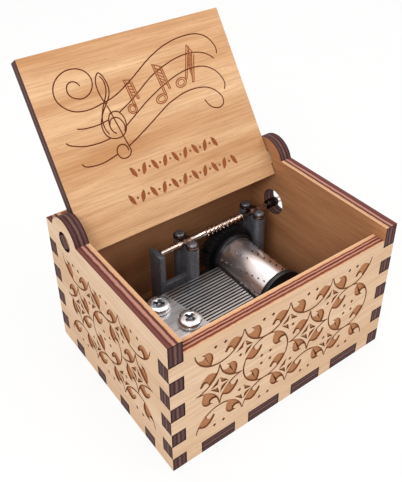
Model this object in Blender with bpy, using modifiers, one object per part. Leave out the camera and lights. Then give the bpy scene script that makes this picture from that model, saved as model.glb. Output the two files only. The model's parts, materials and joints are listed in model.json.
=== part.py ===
"""Hand-cranked music box in a finger-jointed plywood case.

The case is laser cut from three-layer plywood. Its lid turns on two tenons that
run in round ears of the side panels. Inside, a die-cast frame carries a steel
comb, a pinned drum and a worm shaft that the crank turns.

Metres, +Z up. The origin is the middle of the underside, +X is the crank side,
-Y is the front.
"""

import math

import bmesh
import bpy
from mathutils import Matrix, Vector

MM = 0.001

# Plywood case
WIDTH = 64.0 * MM
DEPTH = 51.0 * MM
HEIGHT = 38.0 * MM
PLY = 3.5 * MM
JOINT_GAP = 0.1 * MM
TOP_FINGER = 5.7 * MM
WALL_TABS = 4
FLOOR_FRONT_TABS = 4
FLOOR_FRONT_TAB = 9.1 * MM
FLOOR_FRONT_SPACE = 4.05 * MM
FLOOR_SIDE_TABS = 4
FLOOR_SIDE_TAB = 3.85 * MM
FLOOR_SIDE_SPACE = 7.05 * MM

# Lid and its pivots
HINGE_FROM_BACK = 8.9 * MM
EAR_RADIUS = 6.1 * MM
PIVOT_HOLE_RADIUS = 2.6 * MM
TENON_WIDTH = 3.4 * MM
LID_TAIL = 4.6 * MM
LID_SIDE_GAP = 0.3 * MM
LID_REST_GAP = 0.1 * MM
LID_LEAN_DEG = 34.3

# Worm shaft, which runs along X
SHAFT_FROM_BACK = 12.6 * MM
SHAFT_HEIGHT = 23.8 * MM
SHAFT_RADIUS = 0.75 * MM
SHAFT_START_FROM_AXIS = 20.9 * MM
BEARING_GAP = 0.1 * MM
COLLAR_RADIUS = 1.25 * MM
COLLAR_LENGTH = 0.7 * MM
COLLAR_GAP = 0.4 * MM

# Worm and gear
GEAR_TEETH = 36
GEAR_MESH_RADIUS = 7.35 * MM
GEAR_TIP_RADIUS = 7.55 * MM
GEAR_ROOT_RADIUS = 6.9 * MM
GEAR_TIP_WIDTH = 0.34 * MM
GEAR_ROOT_WIDTH = 0.66 * MM
GEAR_WIDTH = 3.4 * MM
GEAR_HUB_RADIUS = 3.2 * MM
GEAR_HUB_LENGTH = 0.9 * MM
WORM_MESH_RADIUS = 1.25 * MM
WORM_TIP_RADIUS = 1.3 * MM
WORM_TIP_WIDTH = 0.22 * MM
WORM_ROOT_WIDTH = 0.5 * MM
WORM_TURNS_LEFT = 6
WORM_TURNS_RIGHT = 4
THREAD_SINK = 0.08 * MM

# Pinned drum, whose axis runs along Y
MOVEMENT_FROM_WALL = 3.7 * MM
ARBOR_RADIUS = 1.0 * MM
ARBOR_GAP = 0.1 * MM
ARBOR_OVERHANG = 0.2 * MM
DRUM_RADIUS = 5.65 * MM
DRUM_WALL = 0.6 * MM
DRUM_LENGTH = 17.4 * MM
FRONT_CAP_RADIUS = 6.8 * MM
FRONT_CAP_LENGTH = 1.4 * MM
REAR_CAP_RADIUS = 6.3 * MM
REAR_CAP_LENGTH = 1.2 * MM
CAP_PLUG_LENGTH = 1.5 * MM
STACK_GAP = 0.1 * MM
PIN_RADIUS = 0.25 * MM
PIN_TIP_RADIUS = 0.18 * MM
PIN_HEIGHT = 0.45 * MM
PIN_ROOT = 0.25 * MM
PINS_PER_TOOTH = 4
PIN_SPREAD = 0.8

# Comb
COMB_TEETH = 18
COMB_BEFORE_DRUM_MIDDLE = 0.23 * MM
TOOTH_PITCH = 0.945 * MM
TOOTH_WIDTH = 0.5 * MM
COMB_THICKNESS = 1.8 * MM
TOOTH_THICKNESS = 0.9 * MM
TOOTH_TIP_LENGTH = 1.4 * MM
TIP_BELOW_AXIS = 0.2 * MM
PLUCK_GAP = 0.15 * MM
FRONT_TOOTH_LENGTH = 13.5 * MM
REAR_TOOTH_LENGTH = 17.2 * MM
COMB_LENGTH = 25.2 * MM
COMB_SCREW_RADIUS = 1.2 * MM
COMB_SCREW_HEAD_RADIUS = 3.0 * MM
COMB_SCREW_HEAD_HEIGHT = 1.6 * MM
COMB_SCREW_HEAD_FLAT = 1.9 * MM
COMB_SCREW_HEAD_CROWN = 0.6 * MM
COMB_SCREW_DEPTH = 5.0 * MM
COMB_SCREW_POINT = 0.6 * MM
FRONT_SCREW_FROM_EDGE = 4.7 * MM
FRONT_SCREW_FROM_ROOT = 2.9 * MM
REAR_SCREW_FROM_EDGE = 3.4 * MM
REAR_SCREW_FROM_ROOT = 4.4 * MM
SCREW_GAP = 0.12 * MM
HOLE_EXTRA = 0.5 * MM

# Die-cast frame
BED_THICKNESS = 2.2 * MM
BED_LEFT_FROM_AXIS = 32.0 * MM
BED_RIGHT_FROM_AXIS = 12.8 * MM
BED_MARGIN = 0.4 * MM
SEAT_SETBACK = 0.9 * MM
SEAT_GAP = 0.1 * MM
POST_THICKNESS = 1.4 * MM
POST_WIDTH = 5.0 * MM
POST_RISE = 0.5 * MM
POST_GAP = 0.3 * MM
LINK_HEIGHT = 15.0 * MM
LINK_THICKNESS = 1.5 * MM
COLUMN_RADIUS = 1.7 * MM
COLUMN_SPREAD = 2.85 * MM
TOWER_WEB = 2.0 * MM
LEFT_TOWER_FROM_AXIS = 13.1 * MM
RIGHT_TOWER_FROM_AXIS = 9.0 * MM
BEARING_POST_WIDTH = 6.4 * MM
BEARING_POST_THICKNESS = 1.8 * MM
BEARING_POST_GAP = 0.5 * MM
FRONT_BOSS_RADIUS = 2.4 * MM
FRONT_BOSS_HEIGHT = 5.5 * MM
FRONT_BOSS_FROM_AXIS = 9.6 * MM

# Straps over the shaft and their studs
STRAP_THICKNESS = 0.5 * MM
STRAP_WIDTH = 2.2 * MM
STRAP_END_RADIUS = 1.7 * MM
STRAP_SEAT_GAP = 0.1 * MM
STUD_RADIUS = 0.6 * MM
STUD_HEAD_RADIUS = 1.3 * MM
STUD_HEAD_HEIGHT = 0.75 * MM
STUD_HEAD_FLAT = 0.7 * MM
STUD_HEAD_CROWN = 0.4 * MM
STUD_DEPTH = 3.0 * MM

# Screws from below, which hold the frame on the floor panel
FLOOR_SCREW_RADIUS = 1.0 * MM
FLOOR_SCREW_HEAD_RADIUS = 2.2 * MM
FLOOR_SCREW_HEAD_HEIGHT = 1.1 * MM
FLOOR_SCREW_RECESS = 1.5 * MM
FLOOR_SCREW_REACH = 4.0 * MM
FLOOR_SCREW_POINT = 1.0 * MM

# Crank
CRANK_HOLE_RADIUS = 3.8 * MM
SHOULDER_RADIUS = 1.25 * MM
SHOULDER_LENGTH = 3.4 * MM
SHOULDER_IN_HOLE = 1.0 * MM
CRANK_ROD_RADIUS = 0.8 * MM
CRANK_REACH = 6.0 * MM
CRANK_BEND_RADIUS = 2.2 * MM
CRANK_THROW = 17.0 * MM
KNOB_LENGTH = 11.0 * MM
KNOB_RADIUS = 3.0 * MM
KNOB_NECK_RADIUS = 2.1 * MM
KNOB_GAP = 0.3 * MM
KNOB_BORE_GAP = 0.15 * MM
WASHER_RADIUS = 1.6 * MM
WASHER_THICKNESS = 0.5 * MM
CRANK_TIP = 0.6 * MM

# Stations worked out from the sizes above
LEFT = -WIDTH / 2
RIGHT = WIDTH / 2
FRONT = -DEPTH / 2
BACK = DEPTH / 2
FINGER = (HEIGHT - TOP_FINGER) / (2 * WALL_TABS)
HINGE_Y = BACK - HINGE_FROM_BACK
HINGE_Z = HEIGHT - PLY / 2
LID_REACH = HINGE_Y - FRONT
SHAFT_Y = BACK - SHAFT_FROM_BACK
AXIS_FROM_LEFT = WIDTH - PLY - MOVEMENT_FROM_WALL - BED_RIGHT_FROM_AXIS
AXIS_X = LEFT + AXIS_FROM_LEFT
AXIS_Z = SHAFT_HEIGHT - GEAR_MESH_RADIUS - WORM_MESH_RADIUS
THREAD_PITCH = 2 * math.pi * GEAR_MESH_RADIUS / GEAR_TEETH
GEAR_FRONT = SHAFT_Y - GEAR_WIDTH / 2
GEAR_BACK = SHAFT_Y + GEAR_WIDTH / 2
REAR_CAP_BACK = GEAR_FRONT - GEAR_HUB_LENGTH - STACK_GAP
REAR_CAP_FRONT = REAR_CAP_BACK - REAR_CAP_LENGTH
DRUM_BACK = REAR_CAP_FRONT - STACK_GAP
DRUM_FRONT = DRUM_BACK - DRUM_LENGTH
FRONT_CAP_BACK = DRUM_FRONT - STACK_GAP
FRONT_CAP_FRONT = FRONT_CAP_BACK - FRONT_CAP_LENGTH
FRONT_POST_BACK = FRONT_CAP_FRONT - BEARING_POST_GAP
FRONT_POST_FRONT = FRONT_POST_BACK - BEARING_POST_THICKNESS
REAR_POST_FRONT = GEAR_BACK + BEARING_POST_GAP
REAR_POST_BACK = REAR_POST_FRONT + BEARING_POST_THICKNESS
COMB_MIDDLE = (DRUM_FRONT + DRUM_BACK) / 2 - COMB_BEFORE_DRUM_MIDDLE
COMB_SPAN = TOOTH_PITCH * (COMB_TEETH - 1) + TOOTH_WIDTH
COMB_FRONT = COMB_MIDDLE - COMB_SPAN / 2
COMB_BACK = COMB_MIDDLE + COMB_SPAN / 2
TIP_X = AXIS_X - DRUM_RADIUS - PIN_HEIGHT - PLUCK_GAP
COMB_LEFT = TIP_X - COMB_LENGTH
COMB_TOP = AXIS_Z - TIP_BELOW_AXIS
COMB_BOTTOM = COMB_TOP - COMB_THICKNESS
FLOOR_TOP = PLY
BED_BOTTOM = FLOOR_TOP + JOINT_GAP
BED_TOP = BED_BOTTOM + BED_THICKNESS
BED_LEFT = AXIS_X - BED_LEFT_FROM_AXIS
BED_RIGHT = AXIS_X + BED_RIGHT_FROM_AXIS
BED_FRONT = FRONT_POST_FRONT - BED_MARGIN
BED_BACK = SHAFT_Y + COLUMN_SPREAD + COLUMN_RADIUS + BED_MARGIN
LEFT_TOWER_X = AXIS_X - LEFT_TOWER_FROM_AXIS
RIGHT_TOWER_X = AXIS_X + RIGHT_TOWER_FROM_AXIS
TOWER_TOP = SHAFT_HEIGHT - BEARING_GAP / 2
STRAP_BOTTOM = TOWER_TOP + STRAP_SEAT_GAP
STRAP_TOP = STRAP_BOTTOM + STRAP_THICKNESS
SHAFT_START = AXIS_X - SHAFT_START_FROM_AXIS
POST_RIGHT = SHAFT_START - POST_GAP
POST_LEFT = POST_RIGHT - POST_THICKNESS
SHOULDER_END = RIGHT - PLY + SHOULDER_IN_HOLE
SHOULDER_START = SHOULDER_END - SHOULDER_LENGTH
SHAFT_END = (SHOULDER_START + SHOULDER_END) / 2
ROD_START = SHAFT_END + STACK_GAP
CRANK_ARM_X = RIGHT + CRANK_REACH + CRANK_BEND_RADIUS
KNOB_Z = SHAFT_HEIGHT - CRANK_THROW
KNOB_START = CRANK_ARM_X + CRANK_BEND_RADIUS + KNOB_GAP
KNOB_END = KNOB_START + KNOB_LENGTH
WASHER_START = KNOB_END + KNOB_GAP
ROD_END = WASHER_START + WASHER_THICKNESS + CRANK_TIP
CUT_OVERRUN = 0.5 * MM
WELD = 0.001 * MM

# How finely round shapes are divided
DRUM_STEPS = 48
ROUND_STEPS = 32
SMALL_STEPS = 20
THREAD_STEPS = 14
BEND_STEPS = 8
HEAD_STEPS = 3
KNOB_STEPS = 12
PIN_SIDES = 5
ROD_DETAIL = 4

# Rotations that lay a flat outline into the planes of the case
FACING_FRONT = Matrix.Rotation(math.radians(90), 4, "X")
FACING_SIDE = Matrix(((0, 0, 1, 0), (1, 0, 0, 0), (0, 1, 0, 0), (0, 0, 0, 1)))
FACING_UP = Matrix.Identity(4)
ALONG_X = Matrix.Rotation(math.radians(90), 4, "Y")
ALONG_Y = Matrix.Rotation(math.radians(-90), 4, "X")


def clear_scene():
    """Remove what an earlier run or a new file left behind."""
    for old in list(bpy.data.objects):
        bpy.data.objects.remove(old, do_unlink=True)
    for old in list(bpy.data.collections):
        bpy.data.collections.remove(old)


def make_collection(name):
    """Add a collection to the scene."""
    collection = bpy.data.collections.new(name)
    bpy.context.scene.collection.children.link(collection)
    return collection


clear_scene()
PARTS = make_collection("music_box")
CUTTERS = make_collection("cutters")


def make_material(name, color, roughness, metallic=0.0):
    """Make one Principled material."""
    material = bpy.data.materials.new(name)
    material.use_nodes = True
    shader = material.node_tree.nodes["Principled BSDF"]
    shader.inputs["Base Color"].default_value = (*color, 1.0)
    shader.inputs["Roughness"].default_value = roughness
    shader.inputs["Metallic"].default_value = metallic
    return material


def add_part(name, mesh, matrix, material):
    """Put a finished mesh in the model under its own name."""
    part = bpy.data.objects.new(name, mesh)
    PARTS.objects.link(part)
    part.matrix_world = matrix
    mesh.materials.clear()
    mesh.materials.append(material)
    return part


def hide_as_cutter(cutter):
    """Keep a cutting or joining solid out of the model and the render."""
    for collection in list(cutter.users_collection):
        collection.objects.unlink(cutter)
    CUTTERS.objects.link(cutter)
    cutter.hide_render = True
    cutter.display_type = "WIRE"
    return cutter


def combine(part, other, operation):
    """Cut another solid out of a part, or join it to the part."""
    hide_as_cutter(other)
    modifier = part.modifiers.new(operation.title() + " " + other.name, "BOOLEAN")
    modifier.operation = operation
    modifier.solver = "EXACT"
    modifier.object = other


def cut(part, *others):
    """Cut each of the other solids out of the part."""
    for other in others:
        combine(part, other, "DIFFERENCE")


def join(part, *others):
    """Join each of the other solids to the part."""
    for other in others:
        combine(part, other, "UNION")


def arc(center, radius, start_deg, end_deg, steps):
    """Points on an arc, both ends included."""
    points = []
    for index in range(steps + 1):
        angle = math.radians(start_deg + (end_deg - start_deg) * index / steps)
        points.append((center[0] + radius * math.cos(angle), center[1] + radius * math.sin(angle)))
    return points


def stepped_edge(start, end, steps, depth):
    """An edge that steps sideways by depth in each zone, to its left if depth is positive."""
    start, end = Vector(start), Vector(end)
    along = (end - start).normalized()
    side = Vector((-along.y, along.x)) * depth
    points = [start]
    for zone_start, zone_end in steps:
        points += [start + along * zone_start, start + along * zone_start + side]
        points += [start + along * zone_end + side, start + along * zone_end]
    return [tuple(point) for point in points]


def flat_solid(name, outline, thickness, matrix, material):
    """A flat outline extruded both ways from its plane.

    Each cap is one face, because a filled curve leaves slivers where tabs line up.
    """
    curve = bpy.data.curves.new(name + "_outline", "CURVE")
    curve.dimensions = "2D"
    curve.fill_mode = "NONE"
    curve.extrude = thickness / 2
    spline = curve.splines.new("POLY")
    spline.points.add(len(outline) - 1)
    for point, place in zip(spline.points, outline):
        point.co = (place[0], place[1], 0, 1)
    spline.use_cyclic_u = True
    return mesh_from_curve(name, curve, matrix, material)


def mesh_from_curve(name, curve, matrix, material):
    """Turn a curve into a closed mesh, its caps welded or filled."""
    guide = bpy.data.objects.new(name + "_guide", curve)
    CUTTERS.objects.link(guide)
    bpy.context.view_layer.update()
    evaluated = guide.evaluated_get(bpy.context.evaluated_depsgraph_get())
    mesh = bpy.data.meshes.new_from_object(evaluated)
    bpy.data.objects.remove(guide, do_unlink=True)
    shape = bmesh.new()
    shape.from_mesh(mesh)
    bmesh.ops.remove_doubles(shape, verts=shape.verts, dist=WELD)
    bmesh.ops.holes_fill(shape, edges=shape.edges)
    bmesh.ops.recalc_face_normals(shape, faces=shape.faces)
    shape.to_mesh(mesh)
    shape.free()
    return add_part(name, mesh, matrix, material)


def block(name, low, high, material):
    """A box between two corners."""
    low, high = Vector(low), Vector(high)
    shape = bmesh.new()
    bmesh.ops.create_cube(shape, size=1.0)
    bmesh.ops.scale(shape, vec=high - low, verts=shape.verts)
    mesh = bpy.data.meshes.new(name)
    shape.to_mesh(mesh)
    shape.free()
    return add_part(name, mesh, Matrix.Translation((low + high) / 2), material)


def rod(name, start, length, radius, direction, material, steps=SMALL_STEPS):
    """A round rod from a start point, along X, Y or Z."""
    shape = bmesh.new()
    bmesh.ops.create_cone(shape, cap_ends=True, segments=steps, radius1=radius, radius2=radius,
                          depth=length)
    bmesh.ops.translate(shape, vec=(0, 0, length / 2), verts=shape.verts)
    mesh = bpy.data.meshes.new(name)
    shape.to_mesh(mesh)
    shape.free()
    return add_part(name, mesh, Matrix.Translation(start) @ direction, material)


def turned(name, profile, place, direction, material, steps=ROUND_STEPS):
    """A profile of (radius, height) points, top to bottom, turned about the local Z."""
    shape = bmesh.new()
    points = [shape.verts.new((radius, 0, height)) for radius, height in profile]
    closed = profile[0][0] > 0
    for first, second in zip(points, points[1:]):
        shape.edges.new((first, second))
    if closed:
        shape.edges.new((points[-1], points[0]))
    mesh = bpy.data.meshes.new(name)
    shape.to_mesh(mesh)
    shape.free()
    part = add_part(name, mesh, Matrix.Translation(place) @ direction, material)
    screw = part.modifiers.new("Turn", "SCREW")
    screw.steps = steps
    screw.render_steps = steps
    screw.use_merge_vertices = True
    screw.merge_threshold = WELD
    screw.use_smooth_shade = True
    return part


def domed_head(radius, height, flat_radius, crown):
    """Profile of a screw head from its top centre to its rim, rounded by a quarter ellipse."""
    points = [(0, height)]
    for across, up in arc((0, 0), 1.0, 90, 0, HEAD_STEPS):
        points.append((flat_radius + across * (radius - flat_radius),
                       height - crown + up * crown))
    return points


def make_axis(name, place, parent=None):
    """An empty on a joint's axis, which carries the pieces that turn about it."""
    axis = bpy.data.objects.new(name, None)
    PARTS.objects.link(axis)
    axis.empty_display_size = EAR_RADIUS
    axis.location = Vector(place)
    if parent is not None:
        axis.location -= parent.location
        axis.parent = parent
    return axis


def hang(axis, place, *parts):
    """Carry parts by an axis empty that stands at a place, and leave them where they are."""
    for part in parts:
        part.parent = axis
        part.matrix_parent_inverse = Matrix.Translation(place).inverted()


def smooth_round(part, sharp_deg=35):
    """Shade round walls smooth and keep real edges sharp."""
    part.data.shade_smooth()
    part.data.set_sharp_from_angle(angle=math.radians(sharp_deg))


def wall_tab_zones():
    """Heights at which the front and back panels' tabs pass through the side panels."""
    return [(FINGER * (2 * tab + 1), FINGER * (2 * tab + 2)) for tab in range(WALL_TABS)]


def centred_zones(length, count, tab, space):
    """Evenly spaced zones in the middle of an edge."""
    first = (length - count * tab - (count - 1) * space) / 2
    return [(first + index * (tab + space), first + index * (tab + space) + tab)
            for index in range(count)]


def floor_front_zones():
    """The floor panel's tabs along the front and back, measured from the left face."""
    return centred_zones(WIDTH, FLOOR_FRONT_TABS, FLOOR_FRONT_TAB, FLOOR_FRONT_SPACE)


def floor_side_zones():
    """The floor panel's tabs along the sides, measured from the front face."""
    return centred_zones(DEPTH, FLOOR_SIDE_TABS, FLOOR_SIDE_TAB, FLOOR_SIDE_SPACE)


def widened(zones, shift=0.0):
    """Zones with the joint gap at both ends, measured from a start moved by shift."""
    return [(start - JOINT_GAP - shift, end + JOINT_GAP - shift) for start, end in zones]


def shifted(zones, shift):
    """Zones measured from a start moved by shift."""
    return [(start - shift, end - shift) for start, end in zones]


def flipped(zones, length):
    """The same zones measured from the other end of an edge."""
    return [(length - end, length - start) for start, end in reversed(zones)]


def floor_screw_places():
    """Where the three screws from below enter the frame."""
    return [
        (COMB_LEFT + COMB_SCREW_HEAD_RADIUS, COMB_MIDDLE),
        (LEFT_TOWER_X, SHAFT_Y - COLUMN_SPREAD),
        (AXIS_X + FRONT_BOSS_FROM_AXIS, COMB_FRONT),
    ]


def make_floor(wood):
    """The bottom panel, with tabs all round and three screw holes."""
    inset = PLY + JOINT_GAP
    across = WIDTH - 2 * inset
    deep = DEPTH - 2 * inset
    front_zones = shifted(floor_front_zones(), inset)
    side_zones = shifted(floor_side_zones(), inset)
    outline = stepped_edge((0, 0), (across, 0), front_zones, -inset)
    outline += stepped_edge((across, 0), (across, deep), side_zones, -inset)
    outline += stepped_edge((across, deep), (0, deep), flipped(front_zones, across), -inset)
    outline += stepped_edge((0, deep), (0, 0), flipped(side_zones, deep), -inset)
    place = Matrix.Translation((LEFT + inset, FRONT + inset, PLY / 2)) @ FACING_UP
    floor = flat_solid("bottom_panel", outline, PLY, place, wood)
    for index, (x, y) in enumerate(floor_screw_places()):
        hole_radius = FLOOR_SCREW_RADIUS + SCREW_GAP
        hole = rod(f"floor_hole_{index}", (x, y, -CUT_OVERRUN), PLY + 2 * CUT_OVERRUN,
                   hole_radius, FACING_UP, wood)
        recess = rod(f"floor_recess_{index}", (x, y, -CUT_OVERRUN),
                     FLOOR_SCREW_RECESS + CUT_OVERRUN, FLOOR_SCREW_HEAD_RADIUS + SCREW_GAP,
                     FACING_UP, wood)
        cut(floor, hole, recess)
    return floor


def make_end_wall(name, top, y_middle, wood):
    """The front or back panel, which stands between the side panels."""
    inset = PLY + JOINT_GAP
    across = WIDTH - 2 * inset
    tabs = wall_tab_zones()
    notches = widened(floor_front_zones(), inset)
    outline = stepped_edge((0, 0), (across, 0), notches, inset)
    outline += stepped_edge((across, 0), (across, top), tabs, -inset)
    outline += stepped_edge((across, top), (0, top), [], 0)
    outline += stepped_edge((0, top), (0, 0), flipped(tabs, top), -inset)
    place = Matrix.Translation((LEFT + inset, y_middle, 0)) @ FACING_FRONT
    return flat_solid(name, outline, PLY, place, wood)


def make_side_wall(name, x_middle, wood):
    """A side panel with its ear, its pivot hole and the notches for its neighbours."""
    depth_cut = PLY + JOINT_GAP
    tabs = widened(wall_tab_zones())
    hinge = (HINGE_Y - FRONT, HINGE_Z)
    rise = math.degrees(math.asin((HEIGHT - HINGE_Z) / EAR_RADIUS))
    outline = stepped_edge((0, 0), (DEPTH, 0), widened(floor_side_zones()), depth_cut)
    outline += stepped_edge((DEPTH, 0), (DEPTH, HEIGHT), tabs, depth_cut)
    outline += [(DEPTH, HEIGHT)]
    outline += arc(hinge, EAR_RADIUS, rise, 180 - rise, ROUND_STEPS // 2)
    outline += stepped_edge((0, HEIGHT), (0, 0), flipped(tabs, HEIGHT), depth_cut)
    place = Matrix.Translation((x_middle, FRONT, 0)) @ FACING_SIDE
    wall = flat_solid(name, outline, PLY, place, wood)
    drill_wall(wall, name + "_pivot_hole", (x_middle, HINGE_Y, HINGE_Z), PIVOT_HOLE_RADIUS, wood)
    return wall


def drill_wall(wall, name, middle, radius, wood):
    """A round hole through a side panel."""
    length = PLY + 2 * CUT_OVERRUN
    start = (middle[0] - length / 2, middle[1], middle[2])
    cut(wall, rod(name, start, length, radius, ALONG_X, wood, ROUND_STEPS))


def make_case(wood):
    """The five fixed panels of the case."""
    make_floor(wood)
    make_end_wall("front_panel", HEIGHT - PLY - LID_REST_GAP, FRONT + PLY / 2, wood)
    make_end_wall("back_panel", HEIGHT, BACK - PLY / 2, wood)
    make_side_wall("left_panel", LEFT + PLY / 2, wood)
    right_middle = RIGHT - PLY / 2
    right_wall = make_side_wall("right_panel", right_middle, wood)
    drill_wall(right_wall, "crank_hole", (right_middle, SHAFT_Y, SHAFT_HEIGHT),
               CRANK_HOLE_RADIUS, wood)


def make_lid(wood):
    """The lid, drawn round its hinge axis and leaned back as it stands open."""
    tenon_length = PLY + LID_SIDE_GAP
    half = WIDTH / 2 - tenon_length
    tenon = [(LID_TAIL - TENON_WIDTH / 2, LID_TAIL + TENON_WIDTH / 2)]
    length = LID_TAIL + LID_REACH
    outline = stepped_edge((half, -LID_TAIL), (half, LID_REACH), tenon, -tenon_length)
    outline += [(half, LID_REACH)]
    outline += stepped_edge((-half, LID_REACH), (-half, -LID_TAIL), flipped(tenon, length),
                            -tenon_length)
    outline += [(-half, -LID_TAIL)]
    lean = Matrix.Rotation(math.radians(90 - LID_LEAN_DEG), 4, "X")
    place = Matrix.Translation((0, HINGE_Y, HINGE_Z)) @ lean
    return flat_solid("lid", outline, PLY, place, wood)


def root_x(y):
    """Where the comb's teeth leave its solid part, on a line slanted across the comb."""
    share = (y - COMB_FRONT) / (COMB_BACK - COMB_FRONT)
    tooth_length = FRONT_TOOTH_LENGTH + share * (REAR_TOOTH_LENGTH - FRONT_TOOTH_LENGTH)
    return TIP_X - tooth_length


def comb_screw_places():
    """The two comb screws, set back from the slanted line of the tooth roots."""
    front_y = COMB_FRONT + FRONT_SCREW_FROM_EDGE
    rear_y = COMB_BACK - REAR_SCREW_FROM_EDGE
    return [(root_x(front_y) - FRONT_SCREW_FROM_ROOT, front_y),
            (root_x(rear_y) - REAR_SCREW_FROM_ROOT, rear_y)]


def make_comb(steel):
    """The tuned comb, its teeth ground thinner from below behind their tips."""
    outline = [(COMB_LEFT, COMB_BACK), (COMB_LEFT, COMB_FRONT)]
    for tooth in range(COMB_TEETH):
        near = COMB_FRONT + tooth * TOOTH_PITCH
        far = near + TOOTH_WIDTH
        if tooth > 0:
            outline.append((root_x(near), near))
        outline += [(TIP_X, near), (TIP_X, far)]
        if tooth < COMB_TEETH - 1:
            outline.append((root_x(far), far))
    place = Matrix.Translation((0, 0, COMB_TOP - COMB_THICKNESS / 2))
    comb = flat_solid("comb", outline, COMB_THICKNESS, place, steel)
    front, back = COMB_FRONT - CUT_OVERRUN, COMB_BACK + CUT_OVERRUN
    relief = [(root_x(front) + SEAT_SETBACK, front), (TIP_X - TOOTH_TIP_LENGTH, front),
              (TIP_X - TOOTH_TIP_LENGTH, back), (root_x(back) + SEAT_SETBACK, back)]
    depth = COMB_THICKNESS - TOOTH_THICKNESS
    relief_place = Matrix.Translation((0, 0, COMB_BOTTOM + depth / 2 - CUT_OVERRUN / 2))
    cut(comb, flat_solid("tooth_relief", relief, depth + CUT_OVERRUN, relief_place, steel))
    for index, (x, y) in enumerate(comb_screw_places()):
        cut(comb, rod(f"comb_hole_{index}", (x, y, COMB_BOTTOM - CUT_OVERRUN),
                      COMB_THICKNESS + 2 * CUT_OVERRUN, COMB_SCREW_RADIUS + SCREW_GAP,
                      FACING_UP, steel))
    return comb


def make_comb_screws(nickel):
    """The two pan-head screws that hold the comb on its seat."""
    for name, (x, y) in zip(("comb_screw_front", "comb_screw_rear"), comb_screw_places()):
        shank_end = -SEAT_GAP - COMB_THICKNESS - COMB_SCREW_DEPTH
        profile = domed_head(COMB_SCREW_HEAD_RADIUS, COMB_SCREW_HEAD_HEIGHT,
                             COMB_SCREW_HEAD_FLAT, COMB_SCREW_HEAD_CROWN)
        profile += [(COMB_SCREW_HEAD_RADIUS, 0), (COMB_SCREW_RADIUS, 0),
                    (COMB_SCREW_RADIUS, shank_end), (0, shank_end - COMB_SCREW_POINT)]
        turned(name, profile, (x, y, COMB_TOP + SEAT_GAP), FACING_UP, nickel)


def make_tower(name, x, frame, zinc):
    """Two columns and the web between them, with a half-round groove for the shaft."""
    height = TOWER_TOP - BED_BOTTOM
    web = block(name + "_web", (x - TOWER_WEB / 2, SHAFT_Y - COLUMN_SPREAD, BED_BOTTOM),
                (x + TOWER_WEB / 2, SHAFT_Y + COLUMN_SPREAD, TOWER_TOP), zinc)
    for side in (-1, 1):
        column = rod(f"{name}_column_{side}", (x, SHAFT_Y + side * COLUMN_SPREAD, BED_BOTTOM),
                     height, COLUMN_RADIUS, FACING_UP, zinc, ROUND_STEPS)
        join(web, column)
    join(frame, web)


def make_bearing_post(name, y_middle, frame, zinc):
    """A round-topped post that carries one end of the drum's arbor."""
    half = BEARING_POST_WIDTH / 2
    outline = [(AXIS_X - half, BED_BOTTOM), (AXIS_X + half, BED_BOTTOM)]
    outline += arc((AXIS_X, AXIS_Z), half, 0, 180, ROUND_STEPS // 2)
    place = Matrix.Translation((0, y_middle, 0)) @ FACING_FRONT
    join(frame, flat_solid(name, outline, BEARING_POST_THICKNESS, place, zinc))


def make_comb_seat(frame, zinc):
    """The raised block under the comb's solid part."""
    outline = [(COMB_LEFT, COMB_BACK), (COMB_LEFT, COMB_FRONT),
               (root_x(COMB_FRONT) - SEAT_SETBACK, COMB_FRONT),
               (root_x(COMB_BACK) - SEAT_SETBACK, COMB_BACK)]
    top = COMB_BOTTOM - SEAT_GAP
    place = Matrix.Translation((0, 0, (BED_BOTTOM + top) / 2))
    join(frame, flat_solid("comb_seat", outline, top - BED_BOTTOM, place, zinc))


def drill_frame(frame, zinc):
    """All holes and grooves of the frame."""
    cut(frame, rod("shaft_groove", (SHAFT_START, SHAFT_Y, SHAFT_HEIGHT), RIGHT - SHAFT_START,
                   SHAFT_RADIUS + BEARING_GAP, ALONG_X, zinc))
    cut(frame, rod("arbor_bore", (AXIS_X, BED_FRONT - CUT_OVERRUN, AXIS_Z),
                   BED_BACK - BED_FRONT + 2 * CUT_OVERRUN, ARBOR_RADIUS + ARBOR_GAP,
                   ALONG_Y, zinc))
    comb_hole_depth = COMB_SCREW_DEPTH + COMB_SCREW_POINT + HOLE_EXTRA
    for index, (x, y) in enumerate(comb_screw_places()):
        cut(frame, rod(f"comb_tapping_{index}", (x, y, COMB_BOTTOM - comb_hole_depth),
                       comb_hole_depth + CUT_OVERRUN, COMB_SCREW_RADIUS + SCREW_GAP,
                       FACING_UP, zinc))
    for index, (x, y) in enumerate(stud_places()):
        depth = STUD_DEPTH + HOLE_EXTRA
        cut(frame, rod(f"stud_hole_{index}", (x, y, TOWER_TOP - depth), depth + CUT_OVERRUN,
                       STUD_RADIUS + SCREW_GAP, FACING_UP, zinc))
    for index, (x, y) in enumerate(floor_screw_places()):
        reach = FLOOR_SCREW_REACH + HOLE_EXTRA
        cut(frame, rod(f"floor_tapping_{index}", (x, y, BED_BOTTOM - CUT_OVERRUN),
                       reach + CUT_OVERRUN, FLOOR_SCREW_RADIUS + SCREW_GAP, FACING_UP, zinc))


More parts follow.
